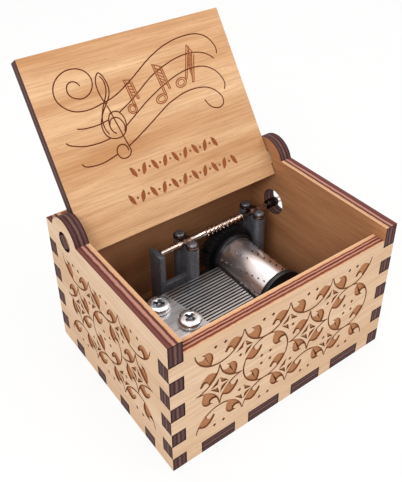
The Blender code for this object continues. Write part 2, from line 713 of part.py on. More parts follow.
def make_frame(zinc):
    """The die-cast frame that carries every working piece."""
    frame = block("movement_frame", (BED_LEFT, BED_FRONT, BED_BOTTOM),
                  (BED_RIGHT, BED_BACK, BED_TOP), zinc)
    make_comb_seat(frame, zinc)
    make_tower("left_tower", LEFT_TOWER_X, frame, zinc)
    make_tower("right_tower", RIGHT_TOWER_X, frame, zinc)
    make_bearing_post("front_bearing", (FRONT_POST_FRONT + FRONT_POST_BACK) / 2, frame, zinc)
    make_bearing_post("rear_bearing", (REAR_POST_FRONT + REAR_POST_BACK) / 2, frame, zinc)
    post_front = SHAFT_Y - POST_WIDTH / 2
    join(frame, block("thrust_post", (POST_LEFT, post_front, BED_BOTTOM),
                      (POST_RIGHT, SHAFT_Y + POST_WIDTH / 2, SHAFT_HEIGHT + POST_RISE), zinc))
    join(frame, block("link_wall", (POST_RIGHT - CUT_OVERRUN, post_front, BED_BOTTOM),
                      (LEFT_TOWER_X, post_front + LINK_THICKNESS, LINK_HEIGHT), zinc))
    boss_x, boss_y = floor_screw_places()[2]
    join(frame, rod("front_boss", (boss_x, boss_y, BED_BOTTOM), FRONT_BOSS_HEIGHT,
                    FRONT_BOSS_RADIUS, FACING_UP, zinc))
    drill_frame(frame, zinc)
    return frame


def stud_places():
    """The four studs, two on each tower."""
    return [(x, SHAFT_Y + side * COLUMN_SPREAD)
            for x in (LEFT_TOWER_X, RIGHT_TOWER_X) for side in (-1, 1)]


def make_strap(name, x, brass):
    """A strip bent over the shaft, with a round foot and a stud hole on either side."""
    inner = SHAFT_RADIUS + BEARING_GAP
    outer = inner + STRAP_THICKNESS
    reach = COLUMN_SPREAD
    foot = STRAP_BOTTOM - SHAFT_HEIGHT
    outer_start = math.degrees(math.asin((foot + STRAP_THICKNESS) / outer))
    inner_start = math.degrees(math.asin(foot / inner))
    outline = [(-reach, foot)]
    outline += arc((0, 0), inner, 180 - inner_start, inner_start, SMALL_STEPS // 2)
    outline += [(reach, foot), (reach, foot + STRAP_THICKNESS)]
    outline += arc((0, 0), outer, outer_start, 180 - outer_start, SMALL_STEPS // 2)
    outline += [(-reach, foot + STRAP_THICKNESS)]
    place = Matrix.Translation((x, SHAFT_Y, SHAFT_HEIGHT)) @ FACING_SIDE
    strap = flat_solid(name, outline, STRAP_WIDTH, place, brass)
    for side in (-1, 1):
        y = SHAFT_Y + side * COLUMN_SPREAD
        join(strap, rod(f"{name}_foot_{side}", (x, y, STRAP_BOTTOM), STRAP_THICKNESS,
                        STRAP_END_RADIUS, FACING_UP, brass, ROUND_STEPS))
        cut(strap, rod(f"{name}_hole_{side}", (x, y, STRAP_BOTTOM - CUT_OVERRUN),
                       STRAP_THICKNESS + 2 * CUT_OVERRUN, STUD_RADIUS + SCREW_GAP,
                       FACING_UP, brass))


def make_studs(steel):
    """The round-headed studs that hold the straps down."""
    names = ("stud_left_front", "stud_left_rear", "stud_right_front", "stud_right_rear")
    bottom = STRAP_TOP + SEAT_GAP
    for name, (x, y) in zip(names, stud_places()):
        profile = domed_head(STUD_HEAD_RADIUS, STUD_HEAD_HEIGHT, STUD_HEAD_FLAT,
                             STUD_HEAD_CROWN)
        profile += [(STUD_HEAD_RADIUS, 0), (STUD_RADIUS, 0), (STUD_RADIUS, -STUD_DEPTH),
                    (0, -STUD_DEPTH)]
        turned(name, profile, (x, y, bottom), FACING_UP, steel, SMALL_STEPS)


def thread_mesh(name):
    """A helical ridge of trapezoid section about the local Z, closed at both ends."""
    root = SHAFT_RADIUS - THREAD_SINK
    half_root = WORM_ROOT_WIDTH / 2
    half_tip = WORM_TIP_WIDTH / 2
    section = [(root, -half_root), (WORM_TIP_RADIUS, -half_tip), (WORM_TIP_RADIUS, half_tip),
               (root, half_root)]
    shape = bmesh.new()
    rings = []
    turns = WORM_TURNS_LEFT + WORM_TURNS_RIGHT
    for step in range(turns * THREAD_STEPS + 1):
        turn = step / THREAD_STEPS - WORM_TURNS_LEFT
        angle = 2 * math.pi * turn
        rings.append([shape.verts.new((radius * math.cos(angle), radius * math.sin(angle),
                                       turn * THREAD_PITCH + offset))
                      for radius, offset in section])
    for ring, following in zip(rings, rings[1:]):
        for index in range(len(section)):
            beside = (index + 1) % len(section)
            shape.faces.new((ring[index], following[index], following[beside], ring[beside]))
    shape.faces.new(rings[0])
    shape.faces.new(tuple(reversed(rings[-1])))
    bmesh.ops.recalc_face_normals(shape, faces=shape.faces)
    mesh = bpy.data.meshes.new(name)
    shape.to_mesh(mesh)
    shape.free()
    return mesh


def make_worm_shaft(nickel):
    """The shaft with its stop collar and the single-start worm above the gear."""
    collar_end = LEFT_TOWER_X - COLUMN_RADIUS - COLLAR_GAP - SHAFT_START
    collar_start = collar_end - COLLAR_LENGTH
    length = SHAFT_END - SHAFT_START
    profile = [(0, length), (SHAFT_RADIUS, length), (SHAFT_RADIUS, collar_end),
               (COLLAR_RADIUS, collar_end), (COLLAR_RADIUS, collar_start),
               (SHAFT_RADIUS, collar_start), (SHAFT_RADIUS, 0), (0, 0)]
    shaft = turned("worm_shaft", profile, (SHAFT_START, SHAFT_Y, SHAFT_HEIGHT), ALONG_X,
                   nickel, SMALL_STEPS)
    thread = add_part("worm_thread", thread_mesh("worm_thread"),
                      Matrix.Translation((AXIS_X, SHAFT_Y, SHAFT_HEIGHT)) @ ALONG_X, nickel)
    join(shaft, thread)
    return shaft


def gear_outline():
    """A trapezoid tooth round the gear for each count, with a space below the worm."""
    points = []
    for tooth in range(GEAR_TEETH):
        middle = math.pi / 2 + 2 * math.pi * (tooth + 0.5) / GEAR_TEETH
        root = GEAR_ROOT_WIDTH / 2 / GEAR_ROOT_RADIUS
        tip = GEAR_TIP_WIDTH / 2 / GEAR_TIP_RADIUS
        for radius, angle in ((GEAR_ROOT_RADIUS, -root), (GEAR_TIP_RADIUS, -tip),
                              (GEAR_TIP_RADIUS, tip), (GEAR_ROOT_RADIUS, root)):
            points.append((radius * math.cos(middle + angle), radius * math.sin(middle + angle)))
    return points


def make_gear(plastic):
    """The moulded gear, with its hub towards the drum."""
    bore = ARBOR_RADIUS + ARBOR_GAP
    place = Matrix.Translation((AXIS_X, SHAFT_Y, AXIS_Z)) @ FACING_FRONT
    gear = flat_solid("cylinder_gear", gear_outline(), GEAR_WIDTH, place, plastic)
    hub_start = (AXIS_X, GEAR_FRONT - GEAR_HUB_LENGTH, AXIS_Z)
    join(gear, rod("gear_hub", hub_start, GEAR_HUB_LENGTH + CUT_OVERRUN, GEAR_HUB_RADIUS,
                   ALONG_Y, plastic, ROUND_STEPS))
    cut(gear, rod("gear_bore", (AXIS_X, GEAR_FRONT - GEAR_HUB_LENGTH - CUT_OVERRUN, AXIS_Z),
                  GEAR_WIDTH + GEAR_HUB_LENGTH + 2 * CUT_OVERRUN, bore, ALONG_Y, plastic))
    return gear


def pin_angle(tooth, pin):
    """The turn at which a pin plucks its tooth, spread by the golden section."""
    golden = (math.sqrt(5) - 1) / 2
    share = (tooth * PINS_PER_TOOTH + pin) * golden % 1.0
    return 2 * math.pi * (pin + PIN_SPREAD * share) / PINS_PER_TOOTH


def pins_mesh(name):
    """All the drum's pins as short tapered pegs, in the drum's own frame."""
    shape = bmesh.new()
    height = PIN_HEIGHT + PIN_ROOT
    middle = DRUM_RADIUS + (PIN_HEIGHT - PIN_ROOT) / 2
    for tooth in range(COMB_TEETH):
        y = COMB_FRONT + tooth * TOOTH_PITCH + TOOTH_WIDTH / 2 - DRUM_FRONT
        for pin in range(PINS_PER_TOOTH):
            turn = Matrix.Rotation(pin_angle(tooth, pin), 4, "Z")
            place = turn @ Matrix.Translation((middle, 0, y)) @ ALONG_X
            bmesh.ops.create_cone(shape, cap_ends=True, segments=PIN_SIDES, depth=height,
                                  radius1=PIN_RADIUS, radius2=PIN_TIP_RADIUS, matrix=place)
    mesh = bpy.data.meshes.new(name)
    shape.to_mesh(mesh)
    shape.free()
    return mesh


def make_drum(nickel):
    """The thin drum with its pins."""
    inner = DRUM_RADIUS - DRUM_WALL
    profile = [(DRUM_RADIUS, DRUM_LENGTH), (DRUM_RADIUS, 0), (inner, 0), (inner, DRUM_LENGTH)]
    place = (AXIS_X, DRUM_FRONT, AXIS_Z)
    drum = turned("cylinder_drum", profile, place, ALONG_Y, nickel, DRUM_STEPS)
    pins = add_part("drum_pins", pins_mesh("drum_pins"), Matrix.Translation(place) @ ALONG_Y,
                    nickel)
    join(drum, pins)
    return drum


def make_caps(plastic):
    """The two end caps, whose plugs hold the drum on the arbor."""
    plug = DRUM_RADIUS - DRUM_WALL - STACK_GAP
    bore = ARBOR_RADIUS + ARBOR_GAP
    front_step = FRONT_CAP_LENGTH + STACK_GAP + CAP_PLUG_LENGTH
    front = [(bore, front_step), (plug, front_step), (plug, FRONT_CAP_LENGTH),
             (FRONT_CAP_RADIUS, FRONT_CAP_LENGTH), (FRONT_CAP_RADIUS, 0), (bore, 0)]
    front_cap = turned("cylinder_front_cap", front, (AXIS_X, FRONT_CAP_FRONT, AXIS_Z), ALONG_Y,
                       plastic, DRUM_STEPS)
    rear_step = CAP_PLUG_LENGTH + STACK_GAP
    rear = [(bore, REAR_CAP_LENGTH), (REAR_CAP_RADIUS, REAR_CAP_LENGTH), (REAR_CAP_RADIUS, 0),
            (plug, 0), (plug, -rear_step), (bore, -rear_step)]
    rear_cap = turned("cylinder_rear_cap", rear, (AXIS_X, REAR_CAP_FRONT, AXIS_Z), ALONG_Y,
                      plastic, DRUM_STEPS)
    return front_cap, rear_cap


def make_arbor(steel):
    """The thin shaft through the drum, its caps, the gear and both bearing posts."""
    start = FRONT_POST_FRONT - ARBOR_OVERHANG
    length = REAR_POST_BACK + ARBOR_OVERHANG - start
    arbor = rod("cylinder_arbor", (AXIS_X, start, AXIS_Z), length, ARBOR_RADIUS, ALONG_Y, steel)
    smooth_round(arbor)
    return arbor


def make_shoulder(steel):
    """The slim sleeve that joins the crank's rod to the worm shaft."""
    bore = CRANK_ROD_RADIUS + SCREW_GAP
    profile = [(bore, SHOULDER_LENGTH), (SHOULDER_RADIUS, SHOULDER_LENGTH),
               (SHOULDER_RADIUS, 0), (bore, 0)]
    place = (SHOULDER_START, SHAFT_Y, SHAFT_HEIGHT)
    return turned("crank_shoulder", profile, place, ALONG_X, steel, SMALL_STEPS)


def crank_path():
    """Route of the crank rod: out of the hole, down the arm and out to the knob."""
    bend = CRANK_BEND_RADIUS
    first = (CRANK_ARM_X - bend, SHAFT_HEIGHT - bend)
    second = (CRANK_ARM_X + bend, KNOB_Z + bend)
    route = [(ROD_START, SHAFT_HEIGHT)]
    route += arc(first, bend, 90, 0, BEND_STEPS)
    route += arc(second, bend, 180, 270, BEND_STEPS)
    route.append((ROD_END, KNOB_Z))
    return route


def make_crank_arm(nickel):
    """The bent steel rod that the hand turns."""
    curve = bpy.data.curves.new("crank_arm_path", "CURVE")
    curve.dimensions = "3D"
    curve.bevel_depth = CRANK_ROD_RADIUS
    curve.bevel_resolution = ROD_DETAIL
    curve.use_fill_caps = True
    route = crank_path()
    spline = curve.splines.new("POLY")
    spline.points.add(len(route) - 1)
    for point, (x, z) in zip(spline.points, route):
        point.co = (x, 0, z - SHAFT_HEIGHT, 1)
    arm = mesh_from_curve("crank_arm", curve, Matrix.Translation((0, SHAFT_Y, SHAFT_HEIGHT)),
                          nickel)
    smooth_round(arm)
    return arm


def make_knob(plastic):
    """The barrel knob that spins on the end of the rod."""
    bore = CRANK_ROD_RADIUS + KNOB_BORE_GAP
    profile = [(bore, KNOB_LENGTH), (KNOB_NECK_RADIUS, KNOB_LENGTH)]
    half = KNOB_LENGTH / 2
    for step in range(1, KNOB_STEPS):
        share = 1 - 2 * step / KNOB_STEPS
        swell = KNOB_NECK_RADIUS + (KNOB_RADIUS - KNOB_NECK_RADIUS) * (1 - share ** 2) ** 0.5
        profile.append((swell, half + share * half))
    profile += [(KNOB_NECK_RADIUS, 0), (bore, 0)]
    return turned("crank_knob", profile, (KNOB_START, SHAFT_Y, KNOB_Z), ALONG_X, plastic)


def make_washer(steel):
    """The washer on the rod's end that keeps the knob on."""
    bore = CRANK_ROD_RADIUS + SCREW_GAP
    ring = [(bore, WASHER_THICKNESS), (WASHER_RADIUS, WASHER_THICKNESS), (WASHER_RADIUS, 0),
            (bore, 0)]
    place = (WASHER_START, SHAFT_Y, KNOB_Z)
    return turned("knob_washer", ring, place, ALONG_X, steel, SMALL_STEPS)


def make_floor_screws(steel):
    """The three screws that hold the frame from below."""
    head_bottom = FLOOR_SCREW_RECESS - SEAT_GAP - FLOOR_SCREW_HEAD_HEIGHT
    head_top = FLOOR_SCREW_RECESS - SEAT_GAP
    tip = BED_BOTTOM + FLOOR_SCREW_REACH
    for index, (x, y) in enumerate(floor_screw_places()):
        profile = [(0, tip), (FLOOR_SCREW_RADIUS, tip - FLOOR_SCREW_POINT),
                   (FLOOR_SCREW_RADIUS, head_top), (FLOOR_SCREW_HEAD_RADIUS, head_top),
                   (FLOOR_SCREW_HEAD_RADIUS, head_bottom), (0, head_bottom)]
        turned(f"floor_screw_{index + 1}", profile, (x, y, 0), FACING_UP, steel, SMALL_STEPS)


def main():
    """Build the case, the lid, the movement and the crank."""
    wood = make_material("basswood_plywood", (0.72, 0.52, 0.33), 0.6)
    zinc = make_material("die_cast_zinc", (0.10, 0.10, 0.11), 0.55, 0.8)
    steel = make_material("comb_steel", (0.20, 0.19, 0.20), 0.4, 0.9)
    nickel = make_material("nickel_plate", (0.78, 0.72, 0.68), 0.18, 1.0)
    strap_metal = make_material("strap_bronze", (0.25, 0.13, 0.09), 0.4, 0.9)
    dark_steel = make_material("blackened_steel", (0.09, 0.08, 0.09), 0.4, 0.9)
    black_plastic = make_material("black_plastic", (0.012, 0.012, 0.013), 0.35)
    make_case(wood)
    make_frame(zinc)
    make_comb(steel)
    make_comb_screws(nickel)
    make_strap("shaft_strap_left", LEFT_TOWER_X, strap_metal)
    make_strap("shaft_strap_right", RIGHT_TOWER_X, strap_metal)
    make_studs(dark_steel)
    make_floor_screws(nickel)
    hinge = (0, HINGE_Y, HINGE_Z)
    hang(make_axis("lid_hinge_axis", hinge), hinge, make_lid(wood))
    drum_end = (AXIS_X, DRUM_FRONT, AXIS_Z)
    hang(make_axis("cylinder_axis", drum_end), drum_end, make_drum(nickel),
         *make_caps(black_plastic), make_gear(black_plastic), make_arbor(steel))
    crank_end = (SHAFT_END, SHAFT_Y, SHAFT_HEIGHT)
    crank_axis = make_axis("crank_axis", crank_end)
    hang(crank_axis, crank_end, make_worm_shaft(nickel), make_shoulder(dark_steel),
         make_crank_arm(nickel), make_washer(nickel))
    knob_end = (KNOB_START, SHAFT_Y, KNOB_Z)
    hang(make_axis("knob_axis", knob_end, crank_axis), knob_end, make_knob(black_plastic))


main()
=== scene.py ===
"""Looks of a hand-cranked music box in a laser-cut plywood case.

Every piece is dressed in place on the fixed frame: metres, +Z up, +X the crank
side, -Y the front. The plywood panels get engraved leaves, burnt joints and
grain. The movement gets plated, cast and ground metal.
"""

import json
import logging
import math
from dataclasses import dataclass, field
from enum import Enum, IntEnum
from typing import Any, Callable, Sequence

import bpy
from mathutils import Matrix, Vector


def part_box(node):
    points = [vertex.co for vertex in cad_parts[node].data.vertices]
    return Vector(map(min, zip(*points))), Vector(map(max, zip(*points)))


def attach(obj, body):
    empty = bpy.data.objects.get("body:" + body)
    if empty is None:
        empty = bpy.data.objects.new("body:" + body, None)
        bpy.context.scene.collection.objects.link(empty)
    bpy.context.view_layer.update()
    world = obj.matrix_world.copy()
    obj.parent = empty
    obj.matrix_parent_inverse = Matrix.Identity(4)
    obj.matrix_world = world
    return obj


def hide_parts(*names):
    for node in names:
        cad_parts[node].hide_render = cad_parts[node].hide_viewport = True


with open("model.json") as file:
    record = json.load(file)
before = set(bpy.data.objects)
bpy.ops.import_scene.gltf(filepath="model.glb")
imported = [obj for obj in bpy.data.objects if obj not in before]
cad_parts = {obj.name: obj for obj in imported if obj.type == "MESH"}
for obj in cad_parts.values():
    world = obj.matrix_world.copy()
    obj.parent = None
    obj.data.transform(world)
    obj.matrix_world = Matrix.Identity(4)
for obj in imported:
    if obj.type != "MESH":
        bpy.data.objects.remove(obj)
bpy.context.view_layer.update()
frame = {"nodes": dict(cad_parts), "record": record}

LOG = logging.getLogger("music_box")
MM = 0.001
MERGE_DISTANCE = 0.0005 * MM
FLAT_ANGLE = math.radians(0.5)
FACING = 0.9
UPWARD = 0.98
BURN_HEIGHT = 0.03 * MM
LAYER_STEP = 0.0015 * MM
LAYER_COUNT = 12
SHORT_LENGTH = 20
JOINTS = {joint["name"]: joint for joint in frame["record"]["behaviour"]["joints"]}
SHAFT = Vector(JOINTS["crank_turn"]["pos_m"])
CAD_CASE = (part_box("left_panel")[0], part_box("right_panel")[1])
Point = tuple[float, float]


class Grain(Enum):
    """Direction in which the face veneer's fibres run."""

    ALONG_X = 0
    ALONG_Y = 1


class Corner(Enum):
    """Quarter of a vine ring: signs of its two directions from the ring's centre."""

    LOWER_LEFT = (-1, -1)
    LOWER_RIGHT = (1, -1)
    UPPER_LEFT = (-1, 1)
    UPPER_RIGHT = (1, 1)


class Side(IntEnum):
    """Material slots of a panel, in their order."""

    OUTSIDE = 0
    INSIDE = 1
    CHARRED = 2
    TOP_EDGE = 3
    SOOT = 4


def linear(code: str, alpha: float = 1.0) -> tuple[float, float, float, float]:
    """Turn an sRGB hex colour into linear values.

    Args:
        code: six hex digits.
        alpha: opacity.

    Returns:
        Red, green, blue and alpha.
    """
    values = [int(code[place:place + 2], 16) / 255 for place in (0, 2, 4)]
    steps = [value / 12.92 if value <= 0.04045 else ((value + 0.055) / 1.055) ** 2.4
             for value in values]
    return (steps[0], steps[1], steps[2], alpha)


def add(tree: bpy.types.NodeTree, kind: str, settings: dict[Any, Any] | None = None,
        links: dict[Any, bpy.types.NodeSocket] | None = None) -> bpy.types.Node:
    """Add one node with its settings and links.

    Args:
        tree: the tree that takes the node.
        kind: Blender's name for the node, without its ShaderNode prefix.
        settings: values by property or input name; "stops" fills a colour ramp.
        links: output sockets by the input that they feed.

    Returns:
        The new node.
    """
    node = tree.nodes.new("ShaderNode" + kind)
    for key, value in (settings or {}).items():
        if key == "stops":
            elements = node.color_ramp.elements
            while len(elements) < len(value):
                elements.new(1.0)
            for element, (place, code) in zip(elements, value):
                element.position = place
                element.color = linear(code)
        elif isinstance(key, str) and hasattr(node, key):
            setattr(node, key, value)
        else:
            node.inputs[key].default_value = value
    for key, socket in (links or {}).items():
        tree.links.new(socket, node.inputs[key])
    return node


def new_material(name: str) -> tuple[bpy.types.Material, bpy.types.NodeTree, bpy.types.Node]:
    """Start a node material.

    Args:
        name: the material's name.

    Returns:
        The material, its tree and its Principled shader.
    """
    material = bpy.data.materials.new(name)
    material.use_nodes = True
    tree = material.node_tree
    return material, tree, tree.nodes["Principled BSDF"]


def mottled(name: str, spot_mm: float, detail: float, stops: list[tuple[float, str]],
            relief: tuple[float, float], values: dict[str, float],
            stretch: tuple[float, float, float] = (1.0, 1.0, 1.0)
            ) -> tuple[bpy.types.Material, bpy.types.NodeSocket]:
    """Make a surface with fine spots of tone and a relief that follows them.

    Args:
        name: the material's name.
        spot_mm: the spots' size.
        detail: how many finer noises lie in them.
        stops: colours by the spots' value.
        relief: the bump's strength, and its height in millimetres.
        values: uniform values by the shader's sockets.
        stretch: the spots' scale along each axis.

    Returns:
        The material and the spots' socket.
    """
    material, tree, shader = new_material(name)
    place = add(tree, "TexCoord").outputs["Object"]
    mapped = add(tree, "Mapping", {"Scale": stretch}, {"Vector": place})
    spots = add(tree, "TexNoise", {"Scale": 1 / (spot_mm * MM), "Detail": detail},
                {"Vector": mapped.outputs["Vector"]}).outputs["Fac"]
    tone = add(tree, "ValToRGB", {"stops": stops}, {"Fac": spots})
    strength, height_mm = relief
    bump = add(tree, "Bump", {"Strength": strength, "Distance": height_mm * MM},
               {"Height": spots})
    tree.links.new(tone.outputs["Color"], shader.inputs["Base Color"])
    tree.links.new(bump.outputs["Normal"], shader.inputs["Normal"])
    for socket, value in values.items():
        shader.inputs[socket].default_value = value
    return material, spots


@dataclass(frozen=True)
class Basswood:
    """Sanded basswood veneer: pale, warm and matt, with straight fibres and soft bands.

    Real fibres are under 0.1 mm across, too fine to show, so they are drawn coarser.
    """

    name: str
    grain: Grain
    pale: str = "DEBF9F"
    warm: str = "D0AA86"
    fleck: str = "A0714C"
    band_mm: float = 9.0
    fibre_mm: float = 0.45
    pore_mm: float = 0.16
    lengths_mm: tuple[float, float, float] = (60.0, 14.0, 1.6)
    fibre_share: float = 0.34
    pore_share: float = 0.3
    relief_mm: float = 0.03
    roughness: float = 0.62

    def stretch(self, along_mm: float, across_mm: float) -> tuple[float, float, float]:
        """Scale for a pattern that is long along the grain and narrow across it."""
        scale = [1 / (across_mm * MM)] * 3
        scale[self.grain.value] = 1 / (along_mm * MM)
        return (scale[0], scale[1], scale[2])

    def build(self) -> bpy.types.Material:
        """Make the veneer's material.

        Returns:
            The material.
        """
        material, tree, shader = new_material(self.name)
        place = add(tree, "TexCoord").outputs["Object"]
        noises = []
        for along, across, detail in zip(
                self.lengths_mm, (self.band_mm, self.fibre_mm, self.pore_mm), (3.0, 2.0, 1.0)):
            mapped = add(tree, "Mapping", {"Scale": self.stretch(along, across)},
                         {"Vector": place})
            noises.append(add(
                tree, "TexNoise", {"Scale": 1.0, "Detail": detail, "Roughness": 0.6},
                {"Vector": mapped.outputs["Vector"]}).outputs["Fac"])
        bands, fibres, pores = noises
        color = add(tree, "ValToRGB", {"stops": [(0.3, self.pale), (0.7, self.warm)]},
                    {"Fac": bands}).outputs["Color"]
        for noise, low, high, part in ((fibres, 0.42, 0.72, self.fibre_share),
                                       (pores, 0.6, 0.74, self.pore_share)):
            share = add(tree, "ValToRGB", {"stops": [(low, "000000"), (high, "FFFFFF")]},
                        {"Fac": noise})
            darker = add(tree, "Math", {"operation": "MULTIPLY", 1: part},
                         {0: share.outputs["Color"]})
            color = add(tree, "MixRGB", {"Color2": linear(self.fleck)},
                        {"Fac": darker.outputs[0], "Color1": color}).outputs["Color"]
        bump = add(tree, "Bump", {"Strength": 0.25, "Distance": self.relief_mm * MM},
                   {"Height": fibres})
        tree.links.new(color, shader.inputs["Base Color"])
        tree.links.new(bump.outputs["Normal"], shader.inputs["Normal"])
        shader.inputs["Roughness"].default_value = self.roughness
        return material


@dataclass(frozen=True)
class LaserEdge:
    """Laser-cut plywood edge: scorched veneers, black glue lines and a paler pink core.

    Charring leaves it dark, matt and streaked. The layers lie across the panel, so the
    pattern is measured along its normal. Real striations are about 0.1 mm apart, too fine
    to show, so they are drawn coarser.
    """

    name: str
    normal: tuple[float, float, float]
    outer_face: float
    ply: float
    layers: tuple[tuple[float, str], ...]
    soot: str = "2E1A17"
    soot_share: float = 0.45
    striation_mm: float = 0.22
    wander_mm: float = 1.5
    relief_mm: float = 0.05
    roughness: float = 0.7
    gloss: float = 0.2

    def build(self) -> bpy.types.Material:
        """Make the scorched edge's material.

        Returns:
            The material.
        """
        material, tree, shader = new_material(self.name)
        place = add(tree, "TexCoord").outputs["Object"]
        depth = add(tree, "VectorMath", {"operation": "DOT_PRODUCT", 1: self.normal},
                    {0: place})
        below = add(tree, "Math", {"operation": "SUBTRACT", 0: self.outer_face},
                    {1: depth.outputs["Value"]})
        share = add(tree, "Math", {"operation": "DIVIDE", 1: self.ply},
                    {0: below.outputs[0]})
        wander = add(tree, "TexNoise", {"Scale": 1 / (self.wander_mm * MM), "Detail": 2.0},
                     {"Vector": place})
        shift = add(tree, "MapRange", {"To Min": -0.05, "To Max": 0.05},
                    {"Value": wander.outputs["Fac"]})
        layer = add(tree, "Math", {"operation": "ADD"},
                    {0: share.outputs[0], 1: shift.outputs["Result"]})
        layers = add(tree, "ValToRGB", {"stops": self.layers}, {"Fac": layer.outputs[0]})
        scratches = add(tree, "TexNoise", {"Scale": 1 / (self.striation_mm * MM),
                                           "Detail": 2.0}, {"Vector": place})
        soot_share = add(tree, "MapRange", {"From Min": 0.35, "From Max": 0.75,
                                            "To Max": self.soot_share},
                         {"Value": scratches.outputs["Fac"]})
        soot = add(tree, "MixRGB", {"Color2": linear(self.soot)},
                   {"Fac": soot_share.outputs["Result"], "Color1": layers.outputs["Color"]})
        tree.links.new(soot.outputs["Color"], shader.inputs["Base Color"])
        bump = add(tree, "Bump", {"Strength": 0.5, "Distance": self.relief_mm * MM},
                   {"Height": layers.outputs["Color"]})
        tree.links.new(bump.outputs["Normal"], shader.inputs["Normal"])
        shader.inputs["Roughness"].default_value = self.roughness
        shader.inputs["Specular IOR Level"].default_value = self.gloss
        return material


# Colours across the ply, from the outer face inward. Fingers and ears are charred through:
# dark brown with black glue lines and a slightly paler core.
CHARRED_LAYERS = (
    (0.0, "2A1314"), (0.08, "43211F"), (0.2, "5C3A37"), (0.3, "472422"), (0.35, "220D0D"),
    (0.42, "583633"), (0.5, "7C5C54"), (0.58, "5E3E3C"), (0.65, "220D0D"), (0.72, "543331"),
    (0.84, "63433F"), (0.93, "3A1C1A"), (1.0, "2A1314"))
# The front's and back's top edges: pale wood with three dark red-brown lines.
TOASTED_LAYERS = (
    (0.0, "E2BC98"), (0.1, "D6A076"), (0.16, "7A3E2C"), (0.26, "6E2C20"), (0.31, "C08C74"),
    (0.37, "C99478"), (0.42, "5E241A"), (0.52, "6A281C"), (0.56, "C08A72"), (0.61, "CE9A80"),
    (0.65, "6A281C"), (0.72, "7A3426"), (0.77, "DDA87E"), (1.0, "EBBE94"))
# The sides' top edges: smoked outside, a pink core and a pale inner rim.
SMOKED_LAYERS = (
    (0.0, "5E2F2B"), (0.14, "74443E"), (0.26, "64322D"), (0.32, "3E1A17"), (0.39, "A87464"),
    (0.48, "C48F7F"), (0.56, "A06C60"), (0.62, "3E1A17"), (0.7, "64322D"), (0.77, "D4A47C"),
    (1.0, "E0B088"))


@dataclass(frozen=True)
class ScorchedRecess:
    """Laser-engraved wood: evenly toasted, matt, with the fine mottle of the raster.

    Real raster lines are about 0.1 mm apart, too fine to show, so they are drawn coarser.
    """

    name: str
    pale: str = "B57F56"
    dark: str = "9A6442"
    raster_mm: float = 0.3
    relief_mm: float = 0.03
    roughness: float = 0.8
    gloss: float = 0.2

    def build(self) -> bpy.types.Material:
        """Make the toasted material.

        Returns:
            The material.
        """
        return mottled(self.name, self.raster_mm, 2.0, [(0.3, self.dark), (0.7, self.pale)],
                       (0.3, self.relief_mm),
                       {"Roughness": self.roughness, "Specular IOR Level": self.gloss})[0]


@dataclass(frozen=True)
class Metal:
    """A metal surface: plated, cast or ground, with a slightly uneven gloss.

    Real grit and grinding marks are mostly under 0.1 mm, too fine to show, so the spots
    are drawn coarser.
    """

    name: str
    color: str
    stain: str
    roughness: float
    unevenness: float
    spot_mm: float
    relief_mm: float
    brushed: tuple[float, float, float] = (1.0, 1.0, 1.0)
    metallic: float = 1.0

    def build(self) -> bpy.types.Material:
        """Make the metal's material.

        Returns:
            The material.
        """
        material, spots = mottled(self.name, self.spot_mm, 4.0,
                                  [(0.35, self.stain), (0.6, self.color)],
                                  (0.4, self.relief_mm), {"Metallic": self.metallic},
                                  self.brushed)
        tree = material.node_tree
        gloss = add(tree, "MapRange", {"To Min": self.roughness - self.unevenness,
                                       "To Max": self.roughness + self.unevenness},
                    {"Value": spots})
        tree.links.new(gloss.outputs["Result"],
                       tree.nodes["Principled BSDF"].inputs["Roughness"])
        return material


@dataclass(frozen=True)
class MouldedPlastic:
    """Injection-moulded acetal: near black, with the mould's faint satin sheen.

    Real mould grit is about 0.05 mm, too fine to show, so it is drawn coarser.
    """

    name: str
    color: str = "0D0D0F"
    worn: str = "18181B"
    grit_mm: float = 0.35
    relief_mm: float = 0.02
    roughness: float = 0.38
    ior: float = 1.48

    def build(self) -> bpy.types.Material:
        """Make the plastic's material.

        Returns:
            The material.
        """
        return mottled(self.name, self.grit_mm, 3.0, [(0.4, self.color), (0.75, self.worn)],
                       (0.3, self.relief_mm),
                       {"Roughness": self.roughness, "IOR": self.ior})[0]


def deselect() -> None:
    """Leave nothing selected, so that the next operator acts on its own piece alone."""
    bpy.ops.object.select_all(action="DESELECT")


def choose(piece: bpy.types.Object) -> None:
    """Select one piece and make it active."""
    deselect()
    piece.select_set(True)
    bpy.context.view_layer.objects.active = piece


def apply_modifiers(piece: bpy.types.Object) -> None:
    """Apply all of a piece's modifiers in their order."""
    choose(piece)
    for modifier in list(piece.modifiers):
        bpy.ops.object.modifier_apply(modifier=modifier.name)


def select_faces(piece: bpy.types.Object,
                 wanted: Callable[[bpy.types.MeshPolygon], bool]) -> None:
    """Select some of a piece's faces and stay in edit mode.

    Args:
        piece: the piece.
        wanted: says which faces.
    """
    choose(piece)
    bpy.ops.object.mode_set(mode="EDIT")
    bpy.ops.mesh.select_mode(type="FACE")
    bpy.ops.mesh.select_all(action="DESELECT")
    bpy.ops.object.mode_set(mode="OBJECT")
    for polygon in piece.data.polygons:
        polygon.select = wanted(polygon)
    bpy.ops.object.mode_set(mode="EDIT")


def clean(piece: bpy.types.Object, turn_outward: bool) -> None:
    """Merge a piece's doubles and the parts of its flat faces.

    Args:
        piece: the piece.
        turn_outward: whether its faces are also turned outward.
    """
    choose(piece)
    bpy.ops.object.mode_set(mode="EDIT")
    bpy.ops.mesh.select_all(action="SELECT")
    bpy.ops.mesh.remove_doubles(threshold=MERGE_DISTANCE)
    if turn_outward:
        bpy.ops.mesh.normals_make_consistent(inside=False)
    bpy.ops.mesh.dissolve_limited(angle_limit=FLAT_ANGLE)
    bpy.ops.object.mode_set(mode="OBJECT")


